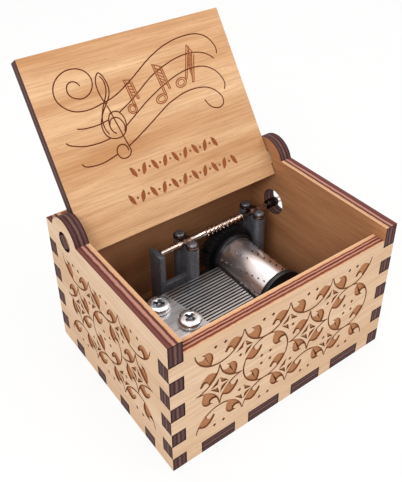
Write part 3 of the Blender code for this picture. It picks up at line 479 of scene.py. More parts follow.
def node_copy(node: str, name: str) -> bpy.types.Object:
    """Copy a frame node's mesh, merge its loose triangles and clean its flat faces.

    Args:
        node: the frame node.
        name: the new piece's name.

    Returns:
        The new piece, which stands for the node.
    """
    source = frame["nodes"][node]
    piece = bpy.data.objects.new(name, source.data.copy())
    bpy.context.scene.collection.objects.link(piece)
    clean(piece, False)
    piece.data.materials.clear()
    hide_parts(node)
    return piece


def smooth(piece: bpy.types.Object, angle_deg: float = 35.0) -> None:
    """Shade a piece smooth and keep its real edges sharp."""
    choose(piece)
    bpy.ops.object.shade_smooth_by_angle(angle=math.radians(angle_deg))


def soften(piece: bpy.types.Object, width_mm: float, segments: int = 2,
           angle_deg: float = 40.0) -> None:
    """Round a piece's sharp edges by a bevel.

    Args:
        piece: the piece.
        width_mm: the bevel's width.
        segments: its faces across.
        angle_deg: the least angle that counts as an edge.
    """
    bevel = piece.modifiers.new("Softened edges", "BEVEL")
    bevel.width = width_mm * MM
    bevel.segments = segments
    bevel.limit_method = "ANGLE"
    bevel.angle_limit = math.radians(angle_deg)
    bevel.use_clamp_overlap = True
    apply_modifiers(piece)


def finish_piece(piece: bpy.types.Object, body: str) -> None:
    """Say which body carries a piece, and report it.

    Args:
        piece: the finished piece.
        body: the frame body.
    """
    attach(piece, body)
    LOG.info("%s rides on %s, %d faces", piece.name, body, len(piece.data.polygons))


def smooth_run(points: Sequence[Point], steps: int, closed: bool) -> list[Point]:
    """Lay a smooth line through points.

    Args:
        points: the points that it passes.
        steps: new points between each two.
        closed: whether the line returns to its start.

    Returns:
        The points along the line.
    """
    count = len(points)
    run: list[Point] = []
    spans = count if closed else count - 1
    for span in range(spans):
        if closed:
            four = [points[(span + shift) % count] for shift in (-1, 0, 1, 2)]
        else:
            four = [points[min(max(span + shift, 0), count - 1)] for shift in (-1, 0, 1, 2)]
        for step in range(steps):
            t = step / steps
            run.append(tuple(0.5 * (2 * four[1][axis] + (four[2][axis] - four[0][axis]) * t
                                    + (2 * four[0][axis] - 5 * four[1][axis]
                                       + 4 * four[2][axis] - four[3][axis]) * t * t
                                    + (3 * four[1][axis] - four[0][axis]
                                       - 3 * four[2][axis] + four[3][axis]) * t ** 3)
                             for axis in (0, 1)))
    if not closed:
        run.append(tuple(points[-1]))
    return run


@dataclass
class Line:
    """A burnt line in a face's own millimetres, with a width that may taper to its ends."""

    points: list[Point]
    width_mm: float = 0.3
    taper: float = 1.0
    closed: bool = False

    def ribbon(self) -> list[list[Point]]:
        """Outline the line as a flat ribbon.

        Returns:
            One outline for an open line, an outer and an inner one for a closed line.
        """
        last = len(self.points) - 1
        left: list[Point] = []
        right: list[Point] = []
        for index, (x, y) in enumerate(self.points):
            if self.closed:
                before, after = self.points[index - 1], self.points[(index + 1) % (last + 1)]
                end = 0.0
            else:
                before = self.points[max(index - 1, 0)]
                after = self.points[min(index + 1, last)]
                end = abs(2 * index / last - 1)
            along = math.hypot(after[0] - before[0], after[1] - before[1])
            half = self.width_mm / 2 * (1 - (1 - self.taper) * end ** 3)
            across = (before[1] - after[1]) / along * half
            upward = (after[0] - before[0]) / along * half
            left.append((x + across, y + upward))
            right.append((x - across, y - upward))
        return [left, right] if self.closed else [left + right[::-1]]


@dataclass(frozen=True)
class Face:
    """A flat wooden face seen from outside: its lower left corner and two directions."""

    corner: Vector
    right: Vector
    up: Vector

    def matrix(self) -> Matrix:
        """Place that lays a flat drawing on the face."""
        turn = Matrix((self.right, self.up, self.right.cross(self.up)))
        return Matrix.Translation(self.corner) @ turn.transposed().to_4x4()


def fill_shapes(face: Face, outlines: Sequence[Sequence[Point]], name: str,
                thickness: float) -> bpy.types.Object:
    """Lay closed outlines on a face as flat solids.

    Args:
        face: the wooden face.
        outlines: the outlines, in the face's millimetres; one inside another is its hole.
        name: the piece's name.
        thickness: the solids' thickness, in metres, half of it above the face.

    Returns:
        The solids as one mesh, with its place in its mesh.
    """
    curve = bpy.data.curves.new(name, "CURVE")
    curve.dimensions = "2D"
    curve.fill_mode = "BOTH"
    curve.extrude = thickness / 2
    for outline in outlines:
        spline = curve.splines.new("POLY")
        spline.points.add(len(outline) - 1)
        for point, (x, y) in zip(spline.points, outline):
            point.co = (x * MM, y * MM, 0, 1)
        spline.use_cyclic_u = True
    piece = bpy.data.objects.new(name, curve)
    bpy.context.scene.collection.objects.link(piece)
    choose(piece)
    bpy.ops.object.convert(target="MESH")
    piece = bpy.context.view_layer.objects.active
    piece.name = name
    piece.matrix_world = face.matrix()
    bpy.ops.object.transform_apply(location=True, rotation=True, scale=True)
    clean(piece, True)
    return piece


def draw_lines(face: Face, lines: Sequence[Line], name: str) -> bpy.types.Object:
    """Lay burnt lines on a face as thin flat ribbons.

    Long lines are laid in short lengths, so that none crosses itself. Lengths that cross
    lie a hair above one another, so that no two faces coincide.

    Args:
        face: the wooden face.
        lines: the lines, in the face's millimetres.
        name: the piece's name.

    Returns:
        The lines as one mesh.
    """
    lengths: list[Line] = []
    for line in lines:
        if line.closed:
            lengths.append(line)
            continue
        for start in range(0, len(line.points) - 1, SHORT_LENGTH):
            lengths.append(Line(line.points[start:start + SHORT_LENGTH + 1], line.width_mm))
    ribbons = []
    for index, line in enumerate(lengths):
        thickness = BURN_HEIGHT + LAYER_STEP * (index % LAYER_COUNT)
        ribbons.append(fill_shapes(face, line.ribbon(), name, thickness))
    deselect()
    for ribbon in ribbons:
        ribbon.select_set(True)
    bpy.context.view_layer.objects.active = ribbons[0]
    bpy.ops.object.join()
    piece = bpy.context.view_layer.objects.active
    piece.name = name
    return piece


@dataclass
class ScrollPattern:
    """Traditional scroll pattern of a side face: rings of vines with leaves, in columns.

    Sizes are in millimetres on the face, measured from its lower left corner.
    """

    middle: float
    columns: int
    first_is_ring: bool
    pitch: float = 12.7
    ring: float = 6.3
    ring_height: float = 6.6
    vine: float = 0.46
    centre_height: float = 19.4
    row: float = 13.2
    dot_gap: float = 1.25
    vine_clearance: float = 0.4
    wedge_clearance: float = 0.8
    leaf_clearance: float = 2.2
    arc_step_deg: int = 4
    least_run: int = 5
    holes: list[tuple[float, float, float]] = field(default_factory=list)
    shapes: list[list[Point]] = field(default_factory=list)
    vines: tuple[list[Line], ...] = field(default_factory=lambda: ([], [], []))

    ROUND_LEAF = ((-4.6, -1.75), (-3.95, -1.85), (-3.15, -1.8), (-2.55, -2.1), (-2.05, -2.7),
                  (-1.75, -3.5), (-1.7, -4.3), (-1.85, -5.1), (-2.1, -5.8), (-2.15, -6.25),
                  (-2.85, -6.0), (-3.65, -5.5), (-4.45, -4.75), (-5.05, -4.05),
                  (-5.5, -3.4), (-5.65, -2.85), (-5.15, -3.05), (-4.45, -3.15),
                  (-3.9, -2.85), (-3.85, -2.45), (-4.15, -2.1))
    BEAN_LEAF = ((1.3, -4.5), (1.45, -3.8), (1.9, -3.05), (2.55, -2.3), (3.25, -1.8),
                 (3.95, -1.75), (4.65, -2.05), (5.3, -2.5), (5.85, -2.65), (5.6, -3.3),
                 (5.15, -4.0), (4.6, -4.6), (4.05, -5.05), (3.55, -5.35), (3.45, -4.8),
                 (3.15, -4.2), (2.65, -3.9), (2.2, -4.1), (2.0, -4.5), (1.7, -4.7))

    def clear(self, x: float, y: float, reach: float) -> bool:
        """Say whether a shape of a given reach misses every hole of the panel."""
        return all(math.hypot(x - hole_x, y - hole_y) > radius + reach
                   for hole_x, hole_y, radius in self.holes)

    def leaf(self, x: float, y: float, corner: Corner) -> None:
        """Draw the leaf inside a quarter of a vine ring.

        Args:
            x: the ring's centre across the face.
            y: the ring's centre above the lower edge.
            corner: which quarter.
        """
        across, upward = corner.value
        leaf = self.ROUND_LEAF if across * upward > 0 else self.BEAN_LEAF
        turn = -1 if upward > 0 else 1
        outline = [(x + turn * px, y + turn * py) for px, py in smooth_run(leaf, 2, True)]
        middle_x = sum(px for px, _ in outline) / len(outline)
        middle_y = sum(py for _, py in outline) / len(outline)
        if self.clear(middle_x, middle_y, self.leaf_clearance):
            self.shapes.append(outline)

    def arc(self, x: float, y: float, start_deg: int, end_deg: int, layer: int) -> None:
        """Draw a vine along part of a ring, broken where a hole is in its way.

        Args:
            x: the ring's centre across the face.
            y: the ring's centre above the lower edge.
            start_deg: the vine's first angle.
            end_deg: its last angle.
            layer: the set of vines, none touching another of it, that this one joins.
        """
        run: list[Point] = []
        runs = [run]
        for angle_deg in range(start_deg, end_deg + 1, self.arc_step_deg):
            angle = math.radians(angle_deg)
            px = x + self.ring * math.cos(angle)
            py = y + self.ring_height * math.sin(angle)
            if self.clear(px, py, self.vine_clearance):
                run.append((px, py))
            elif run:
                run = []
                runs.append(run)
        for points in runs:
            if end_deg - start_deg + self.arc_step_deg == 360:
                self.vines[layer].append(Line(points, self.vine * 0.85, closed=True))
            elif len(points) >= self.least_run:
                self.vines[layer].append(Line(points, self.vine, taper=0.55))

    def lozenge(self, x: float, y: float, half: float = 0.5) -> None:
        """Draw a small lozenge."""
        if self.clear(x, y, half):
            self.shapes.append([(x - half, y), (x, y - half), (x + half, y), (x, y + half)])

    def wedge(self, points: list[Point]) -> None:
        """Draw a small wedge."""
        if self.clear(*points[0], self.wedge_clearance):
            self.shapes.append(points)

    def diamond(self, x: float, y: float, missing: Corner | None, reach: float) -> None:
        """Draw a diamond of wedges round a star-shaped middle.

        Args:
            x: its centre across the face.
            y: its centre above the lower edge.
            missing: the side that a leaf takes, which gets a lozenge instead.
            reach: half of its diagonal.
        """
        for corner in Corner:
            across, upward = corner.value
            if corner is missing:
                self.lozenge(x + across * 1.05, y + upward * 1.4)
                continue
            self.wedge([(x + across * 0.08, y + upward * reach),
                        (x + across * reach, y + upward * 0.08),
                        (x + across * 0.48, y + upward * 0.48)])

    def draw(self) -> None:
        """Draw every column of the pattern."""
        left = self.middle - self.pitch * (self.columns - 1) / 2
        middle = self.centre_height
        top = middle + self.row
        low = middle - self.row
        half_row = self.row / 2
        half = self.pitch / 2
        for column in range(self.columns):
            x = left + column * self.pitch
            is_ring = (column % 2 == 0) == self.first_is_ring
            for corner in (Corner.LOWER_LEFT, Corner.LOWER_RIGHT):
                self.leaf(x, top, corner)
            for corner in (Corner.UPPER_LEFT, Corner.UPPER_RIGHT):
                self.leaf(x, low, corner)
            self.arc(x, top, 188, 352, 1 if is_ring else 0)
            self.arc(x, low, 8, 172, 1 if is_ring else 0)
            for shift in (-self.dot_gap, self.dot_gap):
                self.lozenge(x + shift + 0.15, top - 1.35)
                self.lozenge(x + shift - 0.1, low + 0.75)
            if is_ring:
                for corner in Corner:
                    self.leaf(x, middle, corner)
                self.arc(x, middle, 0, 356, 0)
                for shift in (-self.dot_gap, self.dot_gap):
                    self.lozenge(x + shift, middle + 1.05)
                    self.lozenge(x + shift, middle - 1.4)
            else:
                for side, upper, lower in ((-1, Corner.LOWER_RIGHT, Corner.UPPER_RIGHT),
                                           (1, Corner.LOWER_LEFT, Corner.UPPER_LEFT)):
                    self.leaf(x + side * half, middle + half_row, upper)
                    self.leaf(x + side * half, middle - half_row, lower)
                self.arc(x - half, middle + half_row, 272, 356, 1)
                self.arc(x + half, middle + half_row, 184, 268, 2)
                self.arc(x - half, middle - half_row, 4, 88, 2)
                self.arc(x + half, middle - half_row, 92, 176, 1)
                self.diamond(x, middle - 0.3, None, 2.4)
        for gap in range(self.columns - 1):
            x = left + (gap + 0.5) * self.pitch
            ring_right = (gap % 2 == 1) == self.first_is_ring
            upper = Corner.LOWER_LEFT if ring_right else Corner.LOWER_RIGHT
            lower = Corner.UPPER_LEFT if ring_right else Corner.UPPER_RIGHT
            self.diamond(x + 0.15, middle + half_row, upper, 2.3)
            self.diamond(x + 0.15, middle - half_row - 0.6, lower, 2.3)


@dataclass
class LidDrawing:
    """Flowing stave with a clef and three beamed notes, in the lid's millimetres.

    Sizes are measured from the lower left corner of the lid's inner face.
    """

    line_mm: float = 0.3
    stem_gap: float = 0.5
    dot_half: float = 0.42
    rungs: int = 5
    first_rung: float = 0.12
    rung_step: float = 0.13
    lines: list[Line] = field(default_factory=list)
    note_lines: list[Line] = field(default_factory=list)
    shapes: list[list[Point]] = field(default_factory=list)

    LEAF = ((-0.5, -1.0), (-0.5, -0.3), (-0.3, 0.4), (0.1, 0.85), (0.5, 1.0), (0.5, 0.3),
            (0.3, -0.4), (-0.1, -0.85))
    SPIRAL_AND_TOP_LINE = (
        (12.4, 37.1), (11.9, 38.0), (11.1, 38.5), (10.2, 38.5), (9.4, 38.0), (9.0, 37.1),
        (9.0, 36.1), (9.5, 35.2), (10.3, 34.6), (11.4, 34.2), (12.6, 34.2), (13.9, 34.7),
        (14.9, 35.6), (15.5, 36.7), (15.7, 38.0), (15.3, 39.3), (14.4, 40.4), (13.1, 41.1),
        (11.6, 41.4), (10.0, 41.3), (8.4, 40.7), (7.0, 39.7), (6.0, 38.3), (5.6, 36.8),
        (5.7, 35.3), (6.4, 33.9), (7.6, 32.6), (9.2, 31.7), (11.0, 31.3), (13.0, 31.2),
        (15.0, 31.5), (17.4, 31.9), (19.5, 32.4), (21.6, 33.2), (24.0, 34.4), (26.0, 35.4),
        (28.4, 36.8), (31.2, 38.4), (34.0, 39.7), (37.0, 40.8), (40.0, 41.5), (43.0, 41.8),
        (45.5, 41.8), (47.6, 41.5), (49.4, 40.7), (50.8, 39.4), (51.6, 37.9), (51.9, 36.5),
        (51.6, 35.2))
    SECOND_LINE = ((19.6, 28.5), (21.2, 29.2), (23.2, 30.1), (25.2, 31.2), (27.0, 32.2),
                   (29.2, 33.5), (31.6, 34.7), (34.0, 35.6), (37.0, 36.5), (40.0, 37.1),
                   (42.6, 37.3), (45.0, 37.1), (46.8, 36.7), (48.3, 36.0), (49.5, 35.1),
                   (50.3, 34.2))
    THIRD_LINE = ((20.0, 24.9), (22.2, 26.1), (24.6, 27.4), (27.0, 28.7), (29.6, 29.9),
                  (32.2, 31.0), (35.0, 32.0), (38.0, 32.9), (40.6, 33.4), (43.0, 33.5),
                  (45.4, 33.3), (47.4, 32.6), (49.2, 31.3), (50.4, 29.6), (50.9, 28.0),
                  (50.8, 26.8), (50.2, 25.8))
    FOURTH_LINE = ((19.0, 20.2), (21.4, 21.2), (24.0, 22.4), (27.0, 23.8), (30.0, 25.3),
                   (33.0, 26.7), (35.6, 27.5), (38.2, 28.1), (41.0, 28.3), (43.5, 28.1),
                   (45.6, 27.5), (47.2, 26.4), (48.4, 24.9), (48.8, 23.5), (48.4, 22.4),
                   (47.4, 21.8), (46.2, 21.8), (45.0, 22.3), (44.0, 23.4), (43.4, 24.8))
    LEFT_ENDS = (((8.0, 27.8), (9.5, 27.4), (11.5, 27.2), (13.5, 27.2), (16.3, 27.6)),
                 ((4.3, 25.5), (4.9, 24.8), (6.4, 24.1), (8.2, 23.5), (10.2, 23.2),
                  (12.6, 23.1), (15.0, 23.3)),
                 ((6.1, 19.8), (6.7, 19.0), (8.0, 18.6), (10.0, 18.4), (12.0, 18.5),
                  (14.0, 18.9), (15.6, 19.3)))
    CLEF_OUTER = ((17.0, 31.2), (16.6, 32.6), (16.3, 34.4), (16.3, 36.1), (16.7, 37.6),
                  (17.4, 38.6), (18.0, 38.8), (18.6, 38.0), (19.0, 36.5), (19.1, 35.0),
                  (18.8, 33.6), (18.0, 32.3), (17.0, 31.2), (15.9, 30.0), (15.0, 28.8),
                  (14.3, 27.6), (14.0, 26.3), (14.1, 25.0), (14.6, 23.9), (15.6, 23.1),
                  (16.9, 22.8), (18.2, 22.9), (19.3, 23.6), (20.0, 24.8), (20.3, 26.3),
                  (20.0, 27.7), (19.3, 28.7), (18.3, 29.1), (17.2, 28.9), (16.5, 28.1),
                  (16.1, 27.0), (16.0, 25.9), (16.3, 24.7), (17.0, 23.9))
    CLEF_INNER = ((17.9, 38.0), (18.4, 37.0), (18.5, 35.6), (18.1, 34.0), (17.3, 32.6),
                  (16.4, 31.3), (15.5, 29.9), (14.9, 28.5), (14.6, 27.1), (14.7, 25.6),
                  (15.2, 24.3))
    CLEF_BELLY = ((16.1, 26.4), (16.7, 27.4), (17.7, 27.7), (18.8, 27.3), (19.5, 26.2),
                  (19.7, 25.0), (19.2, 23.8))
    CLEF_STEM = ((17.1, 30.9), (17.4, 29.4), (17.7, 27.4), (18.0, 25.6), (18.3, 23.6),
                 (18.6, 21.8), (18.9, 20.2), (19.0, 19.0), (18.4, 18.1), (17.3, 17.7),
                 (16.1, 18.0), (15.5, 18.9), (15.5, 20.0), (16.2, 20.9), (17.2, 21.1),
                 (18.0, 20.7), (18.4, 19.9), (18.4, 19.2))

    def ellipse(self, x: float, y: float, wide: float, high: float, tilt_deg: float,
                share: float = 1.0) -> list[Point]:
        """Points round a tilted ellipse.

        Args:
            x: its centre across.
            y: its centre upward.
            wide: half of its longer size.
            high: half of its shorter size.
            tilt_deg: its tilt.
            share: factor on both sizes.

        Returns:
            The points.
        """
        tilt = math.radians(tilt_deg)
        points = []
        for step in range(20):
            angle = 2 * math.pi * step / 20
            across = wide * share * math.cos(angle)
            upward = high * share * math.sin(angle)
            points.append((x + across * math.cos(tilt) - upward * math.sin(tilt),
                           y + across * math.sin(tilt) + upward * math.cos(tilt)))
        return points

    def note(self, low: Point, top: Point, second_low: Point, second_top: Point,
             head: tuple[float, float, float, float, float]) -> None:
        """Draw a note with a double stem, a laced beam between its stems and an open head.

        Args:
            low: the first stem's lower end.
            top: the first stem's upper end.
            second_low: the second stem's lower end.
            second_top: the second stem's upper end.
            head: the head's centre, half sizes and tilt.
        """
        width, stem_gap = self.line_mm, self.stem_gap
        for start, end in ((low, top), (second_low, second_top)):
            self.note_lines.append(Line([start, end], width))
            self.note_lines.append(Line([(start[0] + stem_gap, start[1]),
                                         (end[0] + stem_gap, end[1] - 0.4)], width))
            self.note_lines.append(Line([start, (start[0] + stem_gap, start[1])], width))
        self.note_lines.append(Line([top, (second_top[0] + stem_gap, second_top[1])], width))
        previous = top
        for rung in range(self.rungs):
            share = self.first_rung + self.rung_step * rung
            left = (top[0] + (low[0] - top[0]) * share * 0.8 + stem_gap,
                    top[1] + (low[1] - top[1]) * share * 0.8 - 0.3)
            right = (second_top[0] + (second_low[0] - second_top[0]) * share * 1.3,
                     second_top[1] + (second_low[1] - second_top[1]) * share * 1.3)
            self.note_lines.append(Line([left, right] if rung % 2 else [right, left], width))
            if rung:
                self.note_lines.append(Line([previous, right if rung % 2 else left], width))
            previous = left if rung % 2 else right
        x, y, wide, high, tilt = head
        self.note_lines.append(Line(self.ellipse(x, y, wide, high, tilt), width, closed=True))
        self.note_lines.append(Line(self.ellipse(x, y, wide, high, tilt, 0.62), width * 0.8,
                                    closed=True))

    def leaf_row(self, start: float, end: float, y: float, height: float, count: int) -> None:
        """Draw a row of leaves and lozenges, the plain ornament under the stave.

        Args:
            start: the row's left end.
            end: the row's right end.
            y: the row's middle height.
            height: the leaves' height.
            count: how many leaves.
        """
        half = height / 2
        for index in range(count):
            x = start + (end - start) * index / (count - 1)
            side = 1 if index % 2 else -1
            self.shapes.append(smooth_run([(x + side * px * half, y + py * half)
                                           for px, py in self.LEAF], 3, True))
            if index + 1 < count:
                middle, dot = x + (end - start) / (count - 1) / 2, self.dot_half
                self.shapes.append([(middle - dot, y), (middle, y - dot), (middle + dot, y),
                                    (middle, y + dot)])

    def draw(self) -> None:
        """Draw the stave, the clef, the notes and the ornament below them."""
        for points in (self.SPIRAL_AND_TOP_LINE, self.SECOND_LINE, self.THIRD_LINE,
                       self.FOURTH_LINE, *self.LEFT_ENDS, self.CLEF_OUTER, self.CLEF_INNER,
                       self.CLEF_BELLY, self.CLEF_STEM):
            self.lines.append(Line(smooth_run(points, 5, False), self.line_mm))
        self.note((23.9, 28.6), (23.4, 35.5), (25.4, 30.2), (24.9, 35.0),
                  (23.2, 28.3, 1.2, 1.15, 0))
        self.note((32.9, 29.0), (32.2, 37.2), (34.6, 30.3), (34.1, 36.0),
                  (31.7, 28.4, 1.65, 1.1, 12))
        self.note((40.0, 31.2), (43.6, 39.5), (41.7, 30.0), (44.3, 37.0),
                  (38.5, 30.8, 1.6, 1.15, 14))
        self.leaf_row(17.6, 41.8, 13.9, 2.7, 9)
        self.leaf_row(14.8, 45.6, 7.8, 2.7, 11)


@dataclass
class PlywoodCase:
    """The five fixed panels, with burnt joints and the engraved scroll pattern."""

    recess_depth: float = 0.3 * MM
    rim_width: float = 0.17 * MM
    soot_width: float = 0.28 * MM
    least_end_area: float = 4 * MM * MM
    crank_hole_reach: float = 3.6 * MM
    crank_margin_mm: float = 3.8
    level_tolerance: float = 0.1 * MM
    groove_depths: tuple[float, ...] = (0.24 * MM, 0.22 * MM, 0.2 * MM)
    ply: float = 3.5 * MM
    # Toasted floors of the leaves: a soft reddish brown.
    floor: bpy.types.Material = field(default_factory=ScorchedRecess(
        "laser_engraved_basswood").build)
    # Scorched walls and edges of the leaves: they read as a thin dark outline.
    rim: bpy.types.Material = field(default_factory=ScorchedRecess(
        "laser_scorched_rim", pale="8A5634", dark="6B3A1E").build)
    # Burnt vines: thin brown lines with a shadow in them.
    groove: bpy.types.Material = field(default_factory=ScorchedRecess(
        "laser_scorched_line", pale="8F5A38", dark="744325").build)
    # Soot round the burnt ends of the fingers, and painted shade on the crank hole's wall:
    # nearly black and quite matt.
    soot: bpy.types.Material = field(default_factory=ScorchedRecess(
        "sooty_border", pale="2C1614", dark="1C0C0B").build)

    def border(self, panel: bpy.types.Object, middle_slot: int, edge_slot: int, width: float,
               wanted: Callable[[bpy.types.MeshPolygon], bool]) -> None:
        """Set off a narrow darker border round each face of a slot.

        Args:
            panel: the panel's piece.
            middle_slot: the faces' material slot.
            edge_slot: the border's material slot.
            width: the border's width.
            wanted: says which of the slot's faces get one.
        """
        select_faces(panel, lambda polygon: polygon.material_index == middle_slot
                     and wanted(polygon))
        bpy.ops.object.mode_set(mode="OBJECT")
        for polygon in panel.data.polygons:
            if polygon.select:
                polygon.material_index = edge_slot
        bpy.ops.object.mode_set(mode="EDIT")
        bpy.ops.mesh.inset(thickness=width, use_individual=True)
        bpy.ops.object.mode_set(mode="OBJECT")
        for polygon in panel.data.polygons:
            if polygon.select:
                polygon.material_index = middle_slot

    def blacken_ends(self, panel: bpy.types.Object) -> None:
        """Give the burnt end of each finger and tab a sooty border."""
        self.border(panel, Side.CHARRED, Side.SOOT, self.soot_width,
                    lambda polygon: polygon.area > self.least_end_area
                    and abs(polygon.normal.z) < 1 - UPWARD)

    def sink(self, panel: bpy.types.Object, cutter: bpy.types.Object) -> None:
        """Sink a cutter's shapes into a panel's face and remove the cutter.

        Args:
            panel: the panel's piece.
            cutter: the solids that leave the recesses.
        """
        modifier = panel.modifiers.new("Engraving", "BOOLEAN")
        modifier.operation = "DIFFERENCE"
        modifier.solver = "EXACT"
        modifier.material_mode = "TRANSFER"
        modifier.object = cutter
        apply_modifiers(panel)
        bpy.data.objects.remove(cutter, do_unlink=True)

    def panel(self, node: str, normal: Vector, outer_face: float, outside: bpy.types.Material,
              inside: bpy.types.Material, top_layers: tuple[tuple[float, str], ...]
              ) -> bpy.types.Object:
        """Dress one panel: veneer on its faces, scorched layers on its cut edges.

        Args:
            node: the panel's node.
            normal: the panel's outward normal.
            outer_face: the outer face's distance from the origin along the normal.
            outside: the outer face's veneer.
            inside: the inner face's veneer.
            top_layers: the colours across the straight upper edge.

        Returns:
            The panel's piece.
        """
        charred = LaserEdge("charred_edge_" + node, tuple(normal), outer_face, self.ply,
                            CHARRED_LAYERS)
        toasted = LaserEdge("toasted_top_edge_" + node, tuple(normal), outer_face, self.ply,
                            top_layers, soot="6E3426", soot_share=0.3)
        piece = node_copy(node, node + "_plywood")
        for material in (outside, inside, charred.build(), toasted.build(), self.soot):
            piece.data.materials.append(material)
        flats = [polygon for polygon in piece.data.polygons if polygon.normal.z > UPWARD]
        level = max(flats, key=lambda polygon: polygon.area).center.z
        for polygon in piece.data.polygons:
            facing = polygon.normal.dot(normal)
            side = Side.CHARRED
            if abs(facing) > FACING:
                side = Side.OUTSIDE if facing > 0 else Side.INSIDE
            elif (polygon.normal.z > UPWARD
                  and abs(polygon.center.z - level) < self.level_tolerance):
                side = Side.TOP_EDGE
            # The crank hole's wall takes the near-black soot colour as painted shade.
            elif (polygon.center - SHAFT).cross(normal).length < self.crank_hole_reach:
                side = Side.SOOT
            polygon.material_index = side
        return piece

    def engrave(self, wall: bpy.types.Object, face: Face, normal: Vector,
                pattern: ScrollPattern) -> None:
        """Sink the scroll pattern into a wall, and set off its leaves.

        Args:
            wall: the wall's piece.
            face: the wall's outer face.
            normal: its outward normal.
            pattern: the drawn pattern.
        """
        leaves = fill_shapes(face, pattern.shapes, "leaf_cutter", 2 * self.recess_depth)
        leaves.data.materials.append(self.floor)
        leaves.data.materials.append(self.rim)
        for polygon in leaves.data.polygons:
            polygon.material_index = 0 if polygon.normal.dot(normal) < -FACING else 1
        self.sink(wall, leaves)
        for vines, groove_depth in zip(pattern.vines, self.groove_depths):
            outlines = [outline for vine in vines for outline in vine.ribbon()]
            cutter = fill_shapes(face, outlines, "vine_cutter", 2 * groove_depth)
            cutter.data.materials.append(self.groove)
            self.sink(wall, cutter)
        slots = [slot.material for slot in wall.material_slots]
        self.border(wall, slots.index(self.floor), slots.index(self.rim), self.rim_width,
                    lambda polygon: True)

    def build(self) -> None:
        """Dress the five panels and engrave the four walls."""
        low, high = (Vector(corner) for corner in CAD_CASE)
        # Pale outer veneer: warm cream with fine fibres.
        outside = [Basswood("sanded_basswood_" + grain.name.lower(), grain).build()
                   for grain in Grain]
        # Inner veneer painted duller and browner than the outside: painted shade and warm
        # bounce light inside the box.
        inside = [Basswood("inner_basswood_painted_shade_" + grain.name.lower(), grain, pale="C08B60",
                           warm="A66E46", fleck="6E3E22").build() for grain in Grain]
        width = (high.x - low.x) / MM
        depth = (high.y - low.y) / MM
        x, y, z = Vector((1, 0, 0)), Vector((0, 1, 0)), Vector((0, 0, 1))
        crank_hole = ((SHAFT.y - low.y) / MM, SHAFT.z / MM, self.crank_margin_mm)
        walls = (
            ("front_panel", -y, Grain.ALONG_X, Face(Vector((low.x, low.y, 0)), x, z),
             ScrollPattern(width / 2 - 0.5, 4, False), TOASTED_LAYERS),
            ("back_panel", y, Grain.ALONG_X, Face(Vector((high.x, high.y, 0)), -x, z),
             ScrollPattern(width / 2, 4, False), TOASTED_LAYERS),
            ("left_panel", -x, Grain.ALONG_Y, Face(Vector((low.x, high.y, 0)), -y, z),
             ScrollPattern(depth / 2 + 0.1, 3, False), SMOKED_LAYERS),
            ("right_panel", x, Grain.ALONG_Y, Face(Vector((high.x, low.y, 0)), y, z),
             ScrollPattern(depth / 2, 3, False, holes=[crank_hole]), SMOKED_LAYERS),
        )
        for node, normal, grain, face, pattern, top_layers in walls:
            wall = self.panel(node, normal, face.corner.dot(normal), outside[grain.value],
                              inside[grain.value], top_layers)
            pattern.draw()
            self.engrave(wall, face, normal, pattern)
            self.blacken_ends(wall)
            finish_piece(wall, "case")
        bottom = self.panel("bottom_panel", -z, 0.0, outside[Grain.ALONG_X.value],
                            inside[Grain.ALONG_X.value], TOASTED_LAYERS)
        self.blacken_ends(bottom)
        finish_piece(bottom, "case")


@dataclass
class EngravedLid:
    """The lid with its tenons and the burnt drawing on its inner face."""

    lean_deg: float = 34.3
    ply: float = 3.5 * MM
    tail: float = 4.6 * MM
    half_width: float = 28.2 * MM

    def build(self) -> None:
        """Dress the lid and lay its drawing."""
        hinge = Vector(JOINTS["lid_hinge"]["pos_m"])
        up = Matrix.Rotation(math.radians(90 - self.lean_deg), 3, "X") @ Vector((0, 1, 0))
        right = Vector((1, 0, 0))
        out = right.cross(up)
        inner = hinge + out * self.ply / 2
        # Lid veneer: more golden than the walls, with stronger streaks across.
        veneer = Basswood("sanded_basswood_lid", Grain.ALONG_X, pale="E2B88C",
                          warm="BC8654", fleck="8E5430", band_mm=6.0).build()
        # The lid's cut edge: dark and layered.
        edge = LaserEdge("charred_edge_lid", tuple(out), inner.dot(out), self.ply,
                         CHARRED_LAYERS).build()
        lid = node_copy("lid", "lid_plywood")
        lid.data.materials.append(veneer)
        lid.data.materials.append(edge)
        for polygon in lid.data.polygons:
            polygon.material_index = 0 if abs(polygon.normal.dot(out)) > FACING else 1
        finish_piece(lid, "lid")
        corner = inner - up * self.tail - right * self.half_width
        face = Face(corner, right, up)
        drawing = LidDrawing()
        drawing.draw()
        # Deeply burnt lines: dark red-brown.
        burnt = ScorchedRecess("laser_burnt_drawing", pale="64250A", dark="481804").build()
        lines = draw_lines(face, drawing.lines, "lid_burnt_lines")
        lines.data.materials.append(burnt)
        finish_piece(lines, "lid")
        # Lightly burnt notes and leaves: a lighter rust brown.
        toasted = ScorchedRecess("laser_toasted_ornament", pale="A05C34", dark="7E4020").build()
        leaves = fill_shapes(face, drawing.shapes, "lid_leaf_rows", BURN_HEIGHT)
        notes = draw_lines(face, drawing.note_lines, "lid_notes")
        for piece in (leaves, notes):
            piece.data.materials.append(toasted)
            finish_piece(piece, "lid")


